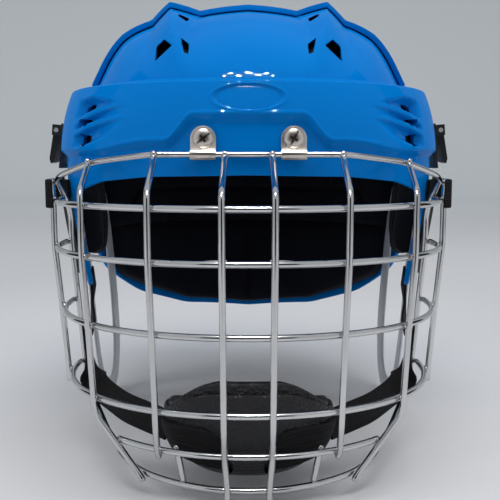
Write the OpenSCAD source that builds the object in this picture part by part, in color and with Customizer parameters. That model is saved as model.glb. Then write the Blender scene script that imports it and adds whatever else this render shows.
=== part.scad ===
// Ice hockey helmet with a full wire cage: two-piece adjustable shell, foam liner,
// clear ear guards, flip-up face cage on two brow clips, and a chin cup on straps.

/* [Shell] */
// Half length of the front shell at its equator
shell_a = 140; // [132:1:150]
// Half width of the front shell at its equator
shell_b = 117; // [110:1:124]
// Rise of the crown above the equator
shell_h = 101; // [94:1:108]
// Height of the equator above the floor
equator_z = 165; // [160:1:170]
// Squareness of the shell's curves, where 2 is an ellipse
squareness = 2.35; // [2.1:0.05:2.6]
// Wall of both shells
shell_wall = 3; // [2.5:0.1:3.5]
// Clearance between the two shells
shell_gap = 0.9; // [0.8:0.1:1.2]
// Inward lean of the walls 100 mm under the equator
wall_tuck = 0.1; // [0.05:0.01:0.15]
// How far the rear shell's leading edge lies ahead of the middle
rim_y = 45; // [38:1:52]
// Travel of the size adjustment
size_travel = 20; // [10:1:24]
// Height of the raised brow band's top ledge
band_top = 209; // [206:1:212]
// Height of the band's lower crease
band_crease = 192; // [190:1:195]
// How far the brow band stands out
band_out = 4; // [2:0.5:5]
// Width of the notch in the band above the cage clips
notch_w = 70; // [62:1:80]
// Half width of the bare oval recess on the band
oval_rx = 18.5; // [15:0.5:22]
// Half height of the bare oval recess
oval_rz = 6.5; // [5:0.5:7]
// Depth of the oval recess
oval_depth = 1; // [0.5:0.1:1.5]
// Height of the brow edge at the middle
brow_z = 162; // [158:1:164]
// Lowest point of the temple flap
flap_z = 93; // [86:1:104]
// Lower edge of the rear shell at the back
rear_z = 46; // [42:1:56]
// Rise of the two crown ridges
ridge_h = 4.3; // [2:0.1:6]
// How far the crown's centre panel is sunk between the ridges
panel_sink = 5; // [3:0.5:6]
// How far the crown stands in above the band at the sides
ledge_w = 10; // [4:1:12]

/* [Liner] */
// Gap between a pad and the shell
pad_gap = 0.7; // [0.6:0.1:1]
// Thickness of the liner pads
pad_t = 14; // [10:1:17]
// Thickness of the comfort pad behind the brow
brow_pad_t = 12; // [8:1:15]

/* [Cage] */
// Diameter of the cage wires
wire_d = 3.3; // [3:0.1:3.8]
// Depth that welded wires sink into each other
weld = 0.45; // [0.35:0.05:0.6]
// Half width of the cage at its sides
cage_side = 107.2; // [106:0.2:110]
// Front of the cage ahead of the shell's middle
cage_y = 184; // [178:1:190]
// Height of the hinge wire
hinge_z = 172.5; // [170:0.5:174]
// Half length of the straight hinge wire
hinge_half = 44; // [38:1:46]
// Height of the first wire under the hinge wire
level_2 = 147.5; // [144:0.5:150]
// Height of the second wire under it
level_3 = 122; // [116:1:126]
// Height of the third wire under it
level_4 = 87.5; // [80:1:94]
// Height of the wire over the chin
level_5 = 50; // [48:1:56]
// Height of the chin wire
level_6 = 25.5; // [23:0.5:30]
// Height of the frame's bottom
level_7 = 6.5; // [5:0.5:9]
// Distance of the inner uprights from the middle
inner_x = 12; // [9:0.5:14]
// Distance of the front uprights from the middle
front_x = 46; // [44:1:50]
// Distance of the corner uprights from the middle
corner_x = 80.5; // [74:1:84]

/* [Clips] */
// Centre of each brow clip from the middle
clip_x = 23; // [19:0.5:28]
// Width of a brow clip
clip_w = 13; // [11:0.5:15]
// Thickness of the clip's sheet
clip_t = 1.2; // [1:0.1:1.5]
// Height of the clip above the hinge wire
clip_h = 14.5; // [13:0.5:15]
// Radius of the clip screw's head
screw_head_r = 5.2; // [4:0.1:5.8]
// Radius of the clip screw's shank
screw_r = 2.5; // [2:0.1:3]
// Running clearance of pins and hooks
run_gap = 0.08; // [0.04:0.01:0.1]

/* [Adjusters] */
// Length of the size lever
lever_l = 22; // [18:1:26]
// Thickness of the size lever
lever_t = 3; // [2:0.5:4]
// Width of the size lever
lever_w = 14; // [11:1:18]
// Height of the size lever's pin
lever_z = 178; // [172:1:184]
// Radius of the lever's pin
lever_pin_r = 1.5; // [1.2:0.1:2]

/* [Ear guards] */
// Thickness of the clear ear guards
ear_t = 2; // [1.5:0.1:2.5]
// Outer width of the ear loop
ear_w = 76; // [66:1:84]
// Width of the ear loop's strip
ear_strip = 13; // [10:1:18]

/* [Chin] */
// Width of the chin cup
cup_w = 88; // [80:1:92]
// Length of the chin cup
cup_l = 56; // [50:1:60]
// Height of the chin cup
cup_h = 37; // [30:1:38]
// Rise of the chin cup's rim at the front
cup_rise = 11; // [0:1:12]
// Wall of the chin cup's shell
cup_wall = 2.4; // [2:0.1:3]
// Thickness of the chin cup's foam
cup_foam = 5; // [3:0.5:7]
// Width of the webbing
web_w = 16; // [14:1:19]
// Thickness of the webbing
web_t = 1.6; // [1.2:0.1:2]

/* [Hidden] */
$fn = 48;

blue = [0.02, 0.42, 0.85];
black = [0.05, 0.05, 0.06];
foam_black = [0.08, 0.08, 0.09];
steel = [0.75, 0.76, 0.78];
clear = [0.85, 0.9, 0.93, 0.5];

function signed(turn) = turn > 180 ? turn - 360 : turn;
function clamp01(v) = min(1, max(0, v));
function smooth(v) = let (c = clamp01(v)) c * c * (3 - 2 * c);
function between(v, lo, hi, soft) = smooth((v - lo) / soft + 0.5) * smooth((hi - v) / soft + 0.5);

// A place on the shell is (turn, climb): turn is the angle from straight ahead, and climb is
// degrees above the equator, or millimetres below it where it is negative.
function plan_radius(turn) =
    1 / pow(pow(abs(sin(turn)) / shell_b, squareness) + pow(abs(cos(turn)) / shell_a, squareness), 1 / squareness);
function climb_radius(turn, climb) =
    1 / pow(pow(abs(cos(climb)) / plan_radius(turn), squareness) + pow(abs(sin(climb)) / shell_h, squareness),
            1 / squareness);
function tuck(turn, drop) = 1 - wall_tuck * (0.4 + 0.6 * smooth((abs(signed(turn)) - 60) / 90)) * pow(drop / 100, 2);
// The crown stands in above the band's ledge, most at the sides, and comes back out to its full width higher up.
function crown_step(turn, z) =
    let (side = smooth((abs(signed(turn)) - 10) / 50) * smooth((175 - abs(signed(turn))) / 70))
    (1 + (ledge_w - 1) * side) * smooth((z - band_top) / 3) * (1 - smooth((z - band_top - 6) / 45));
function on_shell(turn, climb, out) =
    climb < 0
    ? let (r = plan_radius(turn) * tuck(turn, -climb) + out) [r * sin(turn), -r * cos(turn), equator_z + climb]
    : let (bare = climb_radius(turn, climb),
           flat = (bare + out) * cos(climb) - crown_step(turn, equator_z + bare * sin(climb)))
      [flat * sin(turn), -flat * cos(turn), equator_z + (bare + out) * sin(climb)];
// The climb at which the surface reaches a height.
function climb_at(turn, z) =
    z < equator_z
    ? z - equator_z
    : let (level = pow(1 - pow((z - equator_z) / shell_h, squareness), 1 / squareness))
      atan2(z - equator_z, plan_radius(turn) * level);
// The climb at which the surface crosses a plane square to Y.
function climb_at_y(turn, y) =
    let (x = y * tan(turn),
         left = max(0, 1 - pow(abs(x) / shell_b, squareness) - pow(abs(y) / shell_a, squareness)))
    atan2(shell_h * pow(left, 1 / squareness), norm([x, y]));
// How far forward the surface lies at a place seen from the front.
function brow_y(x, z) =
    -shell_a * pow(1 - pow(abs(x) / shell_b, squareness) - pow(max(0, z - equator_z) / shell_h, squareness),
                   1 / squareness);

// A thick sheet from two grids of points. present[i][j] says whether a cell is there.
module sheet(outer, inner, present, closed = false, pole = false) {
    nu = len(outer);
    nv = len(outer[0]);
    cu = closed ? nu : nu - 1;
    cv = nv - 1;
    count = nu * nv;
    function vertex(side, i, j) = side * count + ((pole && j == cv) ? cv : (i % nu) * nv + j);
    function there(i, j) =
        j < 0 || j >= cv ? false : closed ? present[(i + cu) % cu][j] : i < 0 || i >= cu ? false : present[i][j];
    function quad(a, b, c, d) = [for (t = [[a, b, c], [a, c, d]]) if (t[0] != t[1] && t[1] != t[2] && t[0] != t[2]) t];
    faces = [
        for (i = [0:cu - 1]) for (j = [0:cv - 1]) if (there(i, j))
            let (top = pole && j == cv - 1)
            each concat(
                quad(vertex(0, i, j), vertex(0, i, j + 1), vertex(0, i + 1, j + 1), vertex(0, i + 1, j)),
                quad(vertex(1, i, j), vertex(1, i + 1, j), vertex(1, i + 1, j + 1), vertex(1, i, j + 1)),
                there(i, j - 1) ? [] :
                    quad(vertex(0, i, j), vertex(0, i + 1, j), vertex(1, i + 1, j), vertex(1, i, j)),
                there(i, j + 1) || top ? [] :
                    quad(vertex(0, i + 1, j + 1), vertex(0, i, j + 1), vertex(1, i, j + 1), vertex(1, i + 1, j + 1)),
                there(i - 1, j) ? [] :
                    quad(vertex(0, i, j + 1), vertex(0, i, j), vertex(1, i, j), vertex(1, i, j + 1)),
                there(i + 1, j) ? [] :
                    quad(vertex(0, i + 1, j), vertex(0, i + 1, j + 1), vertex(1, i + 1, j + 1), vertex(1, i + 1, j)))
    ];
    points = concat([for (row = outer) each row], [for (row = inner) each row]);
    polyhedron(points, faces, convexity = 8);
}

function mirrored(list) = concat([for (i = [len(list) - 1:-1:1]) -list[i]], list);
module both_sides() {
    children();
    mirror([1, 0, 0]) children();
}

// Lower edge of the front shell: brow, temple flap, then the ear arch.
function front_edge(turn) = lookup(abs(turn),
    [[0, brow_z], [22, brow_z - 1], [36, brow_z - 4], [48, brow_z - 10], [53, brow_z - 16],
     [55, flap_z + 12], [57, flap_z + 3], [60, flap_z], [63, flap_z + 2], [65.5, flap_z + 8],
     [67.5, flap_z + 24], [70, brow_z - 22], [76, brow_z - 13], [90, brow_z], [wing_turn, brow_z + 2]]);
wing_turn = 112;
tongue_turn = 100;
front_turns = mirrored([0, 4, 8, 12, 16, 20, 25, 30, 35, 40, 45, 50, 53, 55, 57, 60, 63, 65.5, 67.5, 70, 76, 83, 90,
    95, tongue_turn, 106, wing_turn]);
front_levels = [band_crease - 2, band_crease, band_crease + 3, 0.5 * (band_crease + band_top), band_top - 3,
    band_top - 1, band_top, band_top + 3];
edge_rows = 5;
dome_rows = 8;

function notch(turn) = let (x = abs(plan_radius(turn) * sin(turn))) smooth((x - notch_w / 2) / 14 + 0.5);
function crease_z(turn) = band_crease - 13 * notch(turn) - 4 * smooth((abs(turn) - 20) / 17);
function band_bump(turn, z) =
    band_out * between(z, crease_z(turn) - 1, band_top, 2.5) * smooth((tongue_turn - 2 - abs(turn)) / 6);
function oval_dent(p) =
    let (away = pow(p[0] / oval_rx, 2) + pow((p[2] - 0.5 * (band_crease + band_top)) / oval_rz, 2))
    p[1] < 0 ? oval_depth * (1 - smooth((away - 0.85) / 0.3)) : 0;
// Two ridges run back over the crown, with a sunk panel between them. The panel widens up to panel_y, then the ridges do.
panel_y = -95;
function crown_out(p) =
    let (valley = lookup(p[1], [[-shell_a, 28], [panel_y, 36], [-rim_y, 31]]),
         peak = lookup(p[1], [[-shell_a, 35], [panel_y, 42], [-rim_y, 46]]))
    lookup(abs(p[0]), [[0, 2 - panel_sink], [valley, -panel_sink], [peak, ridge_h], [peak + 14, -2.5], [peak + 30, 0]])
        * smooth((p[2] - band_top - 4) / 35) * smooth((shell_a - p[1]) / 90);
// The front shell's ridges end under the rear shell's rim.
function front_crown(p) =
    let (crown = crown_out(p)) min(0, crown) + max(0, crown) * smooth((4 - p[1] - rim_y) / 16);
function front_out(turn, climb) =
    let (p = on_shell(turn, climb, 0)) band_bump(turn, p[2]) - oval_dent(p) + front_crown(p);
function front_column(turn) =
    let (low = front_edge(turn), first = front_levels[0])
    concat([for (k = [0:edge_rows - 1]) climb_at(turn, low + (first - low) * k / edge_rows)],
           [for (z = front_levels) climb_at(turn, z)],
           let (start = climb_at(turn, band_top + 3))
           [for (k = [1:dome_rows]) start + (90 - start) * k / dome_rows]);
// Behind the rim the crown keeps the section that it has there, so that the rear shell slides over it.
function crown_scale(y) = pow((1 - pow(rim_y / shell_a, squareness)) / (1 - pow(abs(y) / shell_a, squareness)),
    1 / squareness);
function tongue(p) =
    p[1] < -rim_y || p[1] > rim_y ? p :
    let (k = 1 + (crown_scale(p[1]) - 1 - 0.015 * smooth((p[1] + rim_y) / 8)) * smooth((p[2] - band_top) / 4))
    [p[0] * k, p[1], equator_z + (p[2] - equator_z) * k];

// Vents: three openings on each side of the band, and three cut straight back through each half of the crown.
band_vent_turn = 40.5;
band_vents = [[band_top - 11.4, [[0, -1.3], [9, -2.4], [9, 1.2], [6.3, 2.6], [0, 2.6]]],
    [band_top - 18.6, [[0, -2.2], [9, -1.2], [9, 2], [0, 1.2]]],
    [band_top - 28.6, [[0, -3.4], [9, -3.2], [9.2, 3.8], [0, 2.2]]]];
crown_vents = [[47, equator_z + 65, [[-0.9, 5.2], [-5.9, 0.9], [3.3, -7.5], [3.5, 1.3]]],
    [34, equator_z + 65, [[3, 6.1], [-1.7, 2.2], [-1.9, -4.4], [0.6, -3.3]]],
    [38, equator_z + 87, [[2.7, 2.6], [-3.1, 0], [-2.6, -3.3], [3, 0.6]]]];
module vent_cuts() both_sides() {
    for (v = band_vents) translate([0, 0, v[0]]) rotate([0, 0, band_vent_turn - 90]) rotate([90, 0, 90])
        translate([0, 0, shell_b - 22]) linear_extrude(65) polygon(v[1]);
    for (v = crown_vents) translate([v[0], -rim_y - 6, v[1]]) rotate([90, 0, 0])
        linear_extrude(shell_a) polygon(v[2]);
}

module front_shell() {
    outer = [for (turn = front_turns) [for (climb = front_column(turn))
        tongue(on_shell(turn, climb, front_out(turn, climb)))]];
    inner = [for (turn = front_turns) [for (climb = front_column(turn))
        tongue(on_shell(turn, climb, front_crown(on_shell(turn, climb, 0)) - shell_wall))]];
    top_row = edge_rows + len(front_levels) - 1;
    present = [for (i = [0:len(front_turns) - 2]) [for (j = [0:len(outer[0]) - 2])
        j < top_row || (front_turns[i] >= -tongue_turn && front_turns[i + 1] <= tongue_turn)]];
    color(blue) difference() {
        sheet(outer, inner, present, pole = true);
        vent_cuts();
        tee_holes();
        clamp_holes();
        both_sides() ear_bolts(run_gap);
    }
}

rear_split = 102;
rear_turns = [0, 10, 20, 30, 38, 45, 51, 56, 60, 62.5, 64.5, 66.5, 68.5, 72, 78, 84, 90, 96, rear_split, 104, 107, 111,
    116, 122, 129, 136, 143, 150, 157, 164, 172];
rear_low_rows = 5;
rear_side_rises = [0, 14, 25, 35, band_top - equator_z];
rear_dome_rows = 10;
rear_side_rows = rear_low_rows + len(rear_side_rises);
all_rear_turns = concat(rear_turns, [180], [for (i = [len(rear_turns) - 1:-1:1]) 360 - rear_turns[i]]);
function rear_low(turn) = lookup(abs(signed(turn)),
    [[0, rear_z + 90], [rear_split, rear_z + 90], [rear_split + 2, rear_z + 82], [107, rear_z + 66],
     [116, rear_z + 42], [135, rear_z + 18], [155, rear_z + 4], [180, rear_z]]);
function rear_start(turn) =
    let (t = abs(signed(turn)), wing = climb_at(turn, band_top + 3.4))
    t < 89 ? max(wing, climb_at_y(t, rim_y)) : wing;
function rear_column(turn) =
    let (start = rear_start(turn), low = rear_low(turn))
    concat([for (k = [0:rear_low_rows - 1]) climb_at(turn, low + (equator_z - low) * k / rear_low_rows)],
           [for (rise = rear_side_rises) climb_at(turn, equator_z + rise)],
           [for (k = [0:rear_dome_rows]) start + (90 - start) * k / rear_dome_rows]);

module rear_shell() {
    outer = [for (turn = all_rear_turns) [for (climb = rear_column(turn))
        on_shell(turn, climb, shell_gap + shell_wall + crown_out(on_shell(turn, climb, 0)))]];
    inner = [for (turn = all_rear_turns) [for (climb = rear_column(turn))
        on_shell(turn, climb, shell_gap + crown_out(on_shell(turn, climb, 0)))]];
    cells = len(all_rear_turns);
    function behind(i) =
        let (a = abs(signed(all_rear_turns[i])), b = abs(signed(all_rear_turns[(i + 1) % cells])))
        min(a, b) >= rear_split;
    present = [for (i = [0:cells - 1]) [for (j = [0:rear_side_rows + rear_dome_rows - 1])
        j >= rear_side_rows || behind(i)]];
    color(blue) difference() {
        sheet(outer, inner, present, closed = true, pole = true);
        rear_slots();
    }
}

// A pad follows the shell's inside between two climbs. Its face is crowned, and its rim is drawn in. A pad that
// passes the crown's step has knee rows under the step, and the others above it. Below the equator it can lean in.
module shell_pad(turns, low, high, back, thick, rows = 8, knee = 0, lean = 0) {
    cols = len(turns);
    function crown(u) = 0.35 + 0.65 * pow(max(0, 1 - pow(abs(2 * u - 1), 4)), 0.5);
    function place(i, j, out) =
        let (a = lookup(turns[i], low), b = lookup(turns[i], high), over = climb_at(turns[i], band_top + 3),
             climb = knee == 0 ? a + (b - a) * j / rows :
                 j <= knee ? a + (climb_at(turns[i], band_top - 2) - a) * j / knee :
                 over + (b - over) * (j - knee - 1) / (rows - knee - 1))
        tongue(on_shell(turns[i], climb,
            out + min(0, crown_out(on_shell(turns[i], climb, 0))) - lean * max(0, -climb)));
    outer = [for (i = [0:cols - 1]) [for (j = [0:rows]) place(i, j, -back)]];
    inner = [for (i = [0:cols - 1]) [for (j = [0:rows])
        place(i, j, -back - thick * crown(i / (cols - 1)) * crown(j / rows))]];
    present = [for (i = [1:cols]) [for (j = [1:rows]) true]];
    color(foam_black) sheet(outer, inner, present);
}
function steps(a, b, n) = [for (k = [0:n]) a + (b - a) * k / n];

tee_t = 1.2;
tee_barrel_r = screw_r + 1.1;
tee_flange_r = 7;
screw_l = shell_wall + 5;
pad_back = shell_wall + pad_gap;
ear_back = shell_wall + 0.4;
temple_back = ear_back + ear_t + pad_gap;
brow_low = brow_z - equator_z + 3;
module forehead_pad() difference() {
    shell_pad(steps(-50, 50, 14), [[-50, brow_low - 4], [-30, brow_low - 1], [0, brow_low], [30, brow_low - 1],
        [50, brow_low - 4]], [[-50, 19], [50, 19]], pad_back, brow_pad_t);
    both_sides() translate([clip_x, shell_in_y - 20, screw_z]) rotate([-90, 0, 0])
        cylinder(h = 20.6 + tee_t + 0.6, r = tee_flange_r + 0.6);
}
module front_crown_pad() shell_pad(steps(-50, 50, 12), [[-50, 21.5], [50, 21.5]], [[-50, 43], [50, 43]],
    pad_back + 2, pad_t);
module top_pad() shell_pad(steps(-96, 96, 14), [[-96, 46], [96, 46]], [[-96, 86], [96, 86]], pad_back + 1.9, pad_t, 5);
module temple_pad() difference() {
    shell_pad([53, 57, 61.5, 66, 73, 81, 86, 89.5, 96], [[53, -10], [57, -20], [61.5, -38], [66, -54], [81, -58],
        [86, -52], [89.5, -13], [96, -3]], [[53, 43], [96, 43]], temple_back, pad_t - 2, 8, 4, ear_lean);
    translate([rail_x - rail_t - nut_t - 1.6, lever_y - 38, lever_z - rail_w / 2 - 2]) cube([30, 90, rail_w + 4]);
}
module temple_pad_left() mirror([1, 0, 0]) temple_pad();
module temple_pad_right() temple_pad();
rear_pad_back = pad_gap - shell_gap;
module nape_pad() difference() {
    shell_pad(steps(118, 242, 14), [[118, rear_z - equator_z + 46], [124, rear_z - equator_z + 34],
        [135, rear_z - equator_z + 24], [155, rear_z - equator_z + 9], [180, rear_z - equator_z + 4],
        [205, rear_z - equator_z + 9], [225, rear_z - equator_z + 24], [236, rear_z - equator_z + 34],
        [242, rear_z - equator_z + 46]], [[118, -48], [242, -48]], rear_pad_back, pad_t);
    rear_slots();
}
module rear_pad() shell_pad(concat([118, 131], steps(133, 227, 12), [229, 242]), [[118, -46], [242, -46]],
    [[118, -3], [131, -3], [133, 19], [180, 20], [227, 19], [229, -3], [242, -3]], rear_pad_back, pad_t);
module rear_top_pad() shell_pad(steps(138, 222, 10), [[138, 29], [222, 29]], [[138, 52], [222, 52]],
    rear_pad_back + 0.8, pad_t, 6);

// A section carried along a path. The section's first axis stays close to the guide.
module sweep(path, section, guide) {
    n = len(path);
    m = len(section);
    function unit(v) = v / norm(v);
    function along(i) = unit(path[min(n - 1, i + 1)] - path[max(0, i - 1)]);
    points = [for (i = [0:n - 1])
        let (t = along(i), s = unit(cross(t, guide)), u = cross(s, t))
        each [for (q = section) path[i] + q[0] * u + q[1] * s]];
    faces = concat(
        [[for (k = [m - 1:-1:0]) k], [for (k = [0:m - 1]) (n - 1) * m + k]],
        [for (i = [0:n - 2]) for (k = [0:m - 1])
            let (a = i * m + k, b = i * m + (k + 1) % m)
            each [[a, b, b + m], [a, b + m, a + m]]]);
    polyhedron(points, faces, convexity = 6);
}
function ring(r, sides = 8) = [for (k = [0:sides - 1]) r * [cos(360 * k / sides), sin(360 * k / sides)]];
function band(w, t) = [[w / 2, t / 2], [-w / 2, t / 2], [-w / 2, -t / 2], [w / 2, -t / 2]];
// Corners of a path rounded over a reach on each side.
function rounded(path, reach, count = 2) = concat([path[0]],
    [for (i = [1:len(path) - 2])
        let (p = path[i], a = path[i - 1] - p, b = path[i + 1] - p,
             ra = min(reach, 0.45 * norm(a)), rb = min(reach, 0.45 * norm(b)),
             p0 = p + a / norm(a) * ra, p2 = p + b / norm(b) * rb)
        each [for (k = [0:count]) let (t = k / count) (1 - t) * (1 - t) * p0 + 2 * t * (1 - t) * p + t * t * p2]],
    [path[len(path) - 1]]);
function across(path) = concat([for (i = [len(path) - 1:-1:0]) if (path[i][0] > 0) [-path[i][0], path[i][1], path[i][2]]],
    path);
module wire(path, guide) color(steel) sweep(rounded(path, 3), ring(wire_d / 2), guide);

// Cage: the hinge wire runs through both brow clips, and the frame closes the loop behind the sides.
clip_back = brow_y(clip_x - clip_w / 2, hinge_z) - 0.3;
hook_r = wire_d / 2 + run_gap;
hinge_y = clip_back - hook_r - clip_t;
lap = wire_d - weld;
side_plane = -90;
rear_frame_y = -82;
cage_power = 2.1;
bend = 7;
// A level of the cage is [height, half width, reach ahead of the side plane], a superellipse in plan.
function lean(z) = 1 - 0.06 * smooth((level_3 + 4 - z) / 76);
function level(z) = [z, cage_side * lean(z), cage_y + side_plane];
chin_level = [level_6, 0.953 * cage_side, cage_y + side_plane - 12];
bottom_level = [level_7, 0.85 * cage_side, cage_y + side_plane - 16];
// Station t is the angle from straight ahead; out is measured square to the wire.
function on_level(l, t, out = 0, up = 0) =
    let (q = 2 / cage_power, sx = sign(sin(t)), sy = sign(cos(t)),
         n = [sx * pow(abs(sin(t)), 2 - q) / l[1], -sy * pow(abs(cos(t)), 2 - q) / l[2]])
    [l[1] * sx * pow(abs(sin(t)), q) + out * n[0] / norm(n),
     side_plane - l[2] * sy * pow(abs(cos(t)), q) + out * n[1] / norm(n), l[0] + up];
function station(x) = asin(pow(x / cage_side, cage_power / 2));
inner_t = station(inner_x);
front_t = station(front_x);
corner_t = station(corner_x);
side_t = 85;
back_t = 90 + asin(pow((rear_frame_y + 1.5 - side_plane) / (cage_y + side_plane), cage_power / 2));
chin_end_t = 39;
foot_t = 35;
function divided(stops, step) = concat([for (i = [0:len(stops) - 2])
    let (a = stops[i], b = stops[i + 1], n = ceil((b - a) / step)) each [for (k = [0:n - 1]) a + (b - a) * k / n]],
    [stops[len(stops) - 1]]);

brow_bend = [corner_x + 3.5, hinge_y + 24.5, hinge_z - 4];
top_corner = [cage_side + 0.8, side_plane - 12, hinge_z - 12.5];
top_back = [cage_side + 0.8, rear_frame_y - 5, hinge_z - 20.5];
function frame_x(z) = on_level(level(z), back_t)[0] - lap;
function frame_bottom(t) = on_level(bottom_level, t, 0, 4 * pow(t / foot_t, 2));
function frame_side() = let (low = frame_x(level_5)) concat(
    [[hinge_half, hinge_y, hinge_z], [hinge_half + 6, hinge_y, hinge_z], brow_bend, top_corner, top_back],
    [for (z = [level_2 - 6, level_3, level_4, level_5]) [frame_x(z), rear_frame_y, z]],
    [[low - 3.5, rear_frame_y - 3, level_5 - 16], [low - 12, rear_frame_y - 16, level_7 + 15.5],
     [low - 22, rear_frame_y - 38, level_7 + 9], [low - 32, rear_frame_y - 59, level_7 + 6]],
    [for (t = [foot_t, 23, 12, inner_t, 0]) frame_bottom(t)]);
module cage_hinge_wire() color(steel) translate([-hinge_half, hinge_y, hinge_z]) rotate([0, 90, 0])
    cylinder(h = 2 * hinge_half, r = wire_d / 2);
module cage_frame() {
    half = frame_side();
    loop = concat(half, [for (i = [len(half) - 2:-1:0]) [-half[i][0], half[i][1], half[i][2]]]);
    color(steel) sweep(rounded(loop, 4, 1), ring(wire_d / 2), [0, -0.5, 1]);
}
module level_wire(z) {
    half = [for (t = divided([0, inner_t, front_t, corner_t, side_t, back_t], 9)) on_level(level(z), t)];
    color(steel) sweep(across(half), ring(wire_d / 2), [0, 0, 1]);
}
module cage_wire_2() level_wire(level_2);
module cage_wire_3() level_wire(level_3);
module cage_wire_4() level_wire(level_4);
module cage_wire_5() level_wire(level_5);
module cage_wire_6() {
    half = [for (t = divided([0, inner_t, front_t, chin_end_t + 1], 9))
        on_level(chin_level, t, 0, 3 * pow(t / chin_end_t, 2))];
    color(steel) sweep(across(half), ring(wire_d / 2), [0, 0, 1]);
}
// The straight run of an upright stops a bend's length above the first wire and below the fourth.
function upright_run(t) = [on_level(level(level_2), t, lap, bend), for (z = [level_3, level_4])
    on_level(level(z), t, lap), on_level(level(level_5), t, lap, -bend)];
function hinge_end(x) = [for (up = [2, -2]) [x, hinge_y - lap, hinge_z + up]];
module upright_inner() wire(concat(hinge_end(inner_x), upright_run(inner_t),
    [on_level(chin_level, inner_t, 0.97 * lap), on_level(bottom_level, inner_t, lap, 2),
     [for (k = [0, 1, 2]) k == 2 ? 0 : on_level(bottom_level, inner_t, lap)[k]]]), [1, 0, 0]);
module upright_front() wire(concat(hinge_end(hinge_half + 3.5), upright_run(front_t),
    [on_level(chin_level, front_t, 1.18 * lap, 1.2), on_level(chin_level, front_t, 1.18 * lap - 2.4, -2.3)]), [1, 0, 0]);
module upright_corner() wire(concat([for (up = [2, -2]) brow_bend + [0.57 * lap, -0.82 * lap, up]], upright_run(corner_t),
    [on_level(bottom_level, foot_t, 1.1 * lap, 4), on_level(bottom_level, foot_t - 1.5, 1.1 * lap, 1)]), [1, 0, 0]);
module upright_side() wire(concat([for (k = [0, 1]) top_corner + [lap, 5.5, -1 - 3 * k]],
    [for (z = [level_2, level_3, level_4]) on_level(level(z), side_t, lap),
     on_level(level(level_5), side_t, lap), on_level(level(level_5), side_t, lap, -bend)]), [0, 1, 0]);
module cage_upright_1() mirror([1, 0, 0]) upright_side();
module cage_upright_2() mirror([1, 0, 0]) upright_corner();
module cage_upright_3() mirror([1, 0, 0]) upright_front();
module cage_upright_4() mirror([1, 0, 0]) upright_inner();
module cage_upright_5() upright_inner();
module cage_upright_6() upright_front();
module cage_upright_7() upright_corner();
module cage_upright_8() upright_side();
anchor_t = 20;
module cage_anchors() both_sides() color(steel) sweep([on_level(chin_level, anchor_t, -0.95 * lap, 3.5),
    on_level(bottom_level, anchor_t, -0.95 * lap, -2)], ring(wire_d / 2), [1, 0, 0]);

// Brow clips: a rounded plate rolled round the hinge wire, held by a screw into a tee nut.
screw_z = hinge_z + 8;
module brow_clip() color(steel) difference() {
    union() {
        translate([clip_x, clip_back, hinge_z + clip_h - clip_w / 2]) rotate([90, 0, 0])
            cylinder(h = clip_t, r = clip_w / 2);
        translate([clip_x - clip_w / 2, clip_back - clip_t, hinge_z]) cube([clip_w, clip_t, clip_h - clip_w / 2]);
        translate([clip_x - clip_w / 2, hinge_y, hinge_z]) rotate([0, 90, 0])
            cylinder(h = clip_w, r = hook_r + clip_t);
    }
    translate([clip_x - clip_w, hinge_y, hinge_z]) rotate([0, 90, 0]) cylinder(h = 2 * clip_w, r = hook_r);
    translate([clip_x, clip_back + 1, screw_z]) rotate([90, 0, 0]) cylinder(h = 6, r = screw_r + run_gap);
}
module clip_left() mirror([1, 0, 0]) brow_clip();
module clip_right() brow_clip();
module clip_screws() both_sides() color(steel) difference() {
    translate([clip_x, clip_back - clip_t, screw_z]) rotate([90, 0, 0]) union() {
        cylinder(h = 1, r = screw_head_r);
        translate([0, 0, 1]) cylinder(h = 1, r1 = screw_head_r, r2 = 0.62 * screw_head_r);
        translate([0, 0, -screw_l]) cylinder(h = screw_l, r = screw_r);
    }
    translate([clip_x, clip_back - clip_t - 2, screw_z]) rotate([90, 0, 0]) {
        cube([0.9, 5.2, 2.2], center = true);
        cube([7, 1, 1.4], center = true);
    }
}
shell_in_y = brow_y(clip_x + 8, screw_z) + shell_wall;
module clip_tee_nuts() both_sides() color(steel) difference() {
    translate([clip_x, shell_in_y, screw_z]) rotate([-90, 0, 0]) union() {
        translate([0, 0, 0.6]) cylinder(h = tee_t, r = 7);
        translate([0, 0, -shell_wall + 0.4]) cylinder(h = shell_wall + 1, r = tee_barrel_r);
    }
    translate([clip_x, shell_in_y, screw_z]) rotate([-90, 0, 0])
        translate([0, 0, -8]) cylinder(h = 16, r = screw_r + run_gap);
}
module tee_holes() both_sides() translate([clip_x, shell_in_y + 6, screw_z]) rotate([90, 0, 0])
    cylinder(h = 20, r = tee_barrel_r + run_gap);

module rear_slots() both_sides() translate([29, shell_a - 34, 82]) rotate([-90, 0, 0]) linear_extrude(50)
    polygon([[-11, 2.8], [11, 2.8], [9, -2.8], [-9, -2.8]]);

// Size adjusters: a flip lever on a base outside, its bolt and nut, and the rear shell's slotted rail inside.
lever_y = -14;
lever_tilt = -5;
base_t = 1.8;
base_x = shell_b + band_out + 0.2;
pin_out = 5;
pin_up = 10.5;
rail_w = 13;
rail_t = 1.4;
nut_t = 1.6;
rail_x = 0.92 * shell_b;
module at_lever() translate([base_x, lever_y, lever_z]) rotate([0, lever_tilt, 0]) children();
module lever_base() color(black) difference() {
    at_lever() union() {
        translate([0, -lever_w / 2 - 3, -14]) cube([base_t, lever_w + 6, 29]);
        for (side = [-1, 1]) translate([0, side * (lever_w / 2 + 1.9) - 1.3, pin_up - 3.5])
            cube([pin_out + 2.6, 2.6, 7]);
    }
    at_lever() translate([pin_out, -20, pin_up]) rotate([-90, 0, 0]) cylinder(h = 40, r = lever_pin_r);
    translate([base_x - 10, lever_y, lever_z]) rotate([0, 90, 0]) cylinder(h = 14, r = screw_r + run_gap);
}
module lever_base_left() mirror([1, 0, 0]) lever_base();
module lever_base_right() lever_base();
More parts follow.
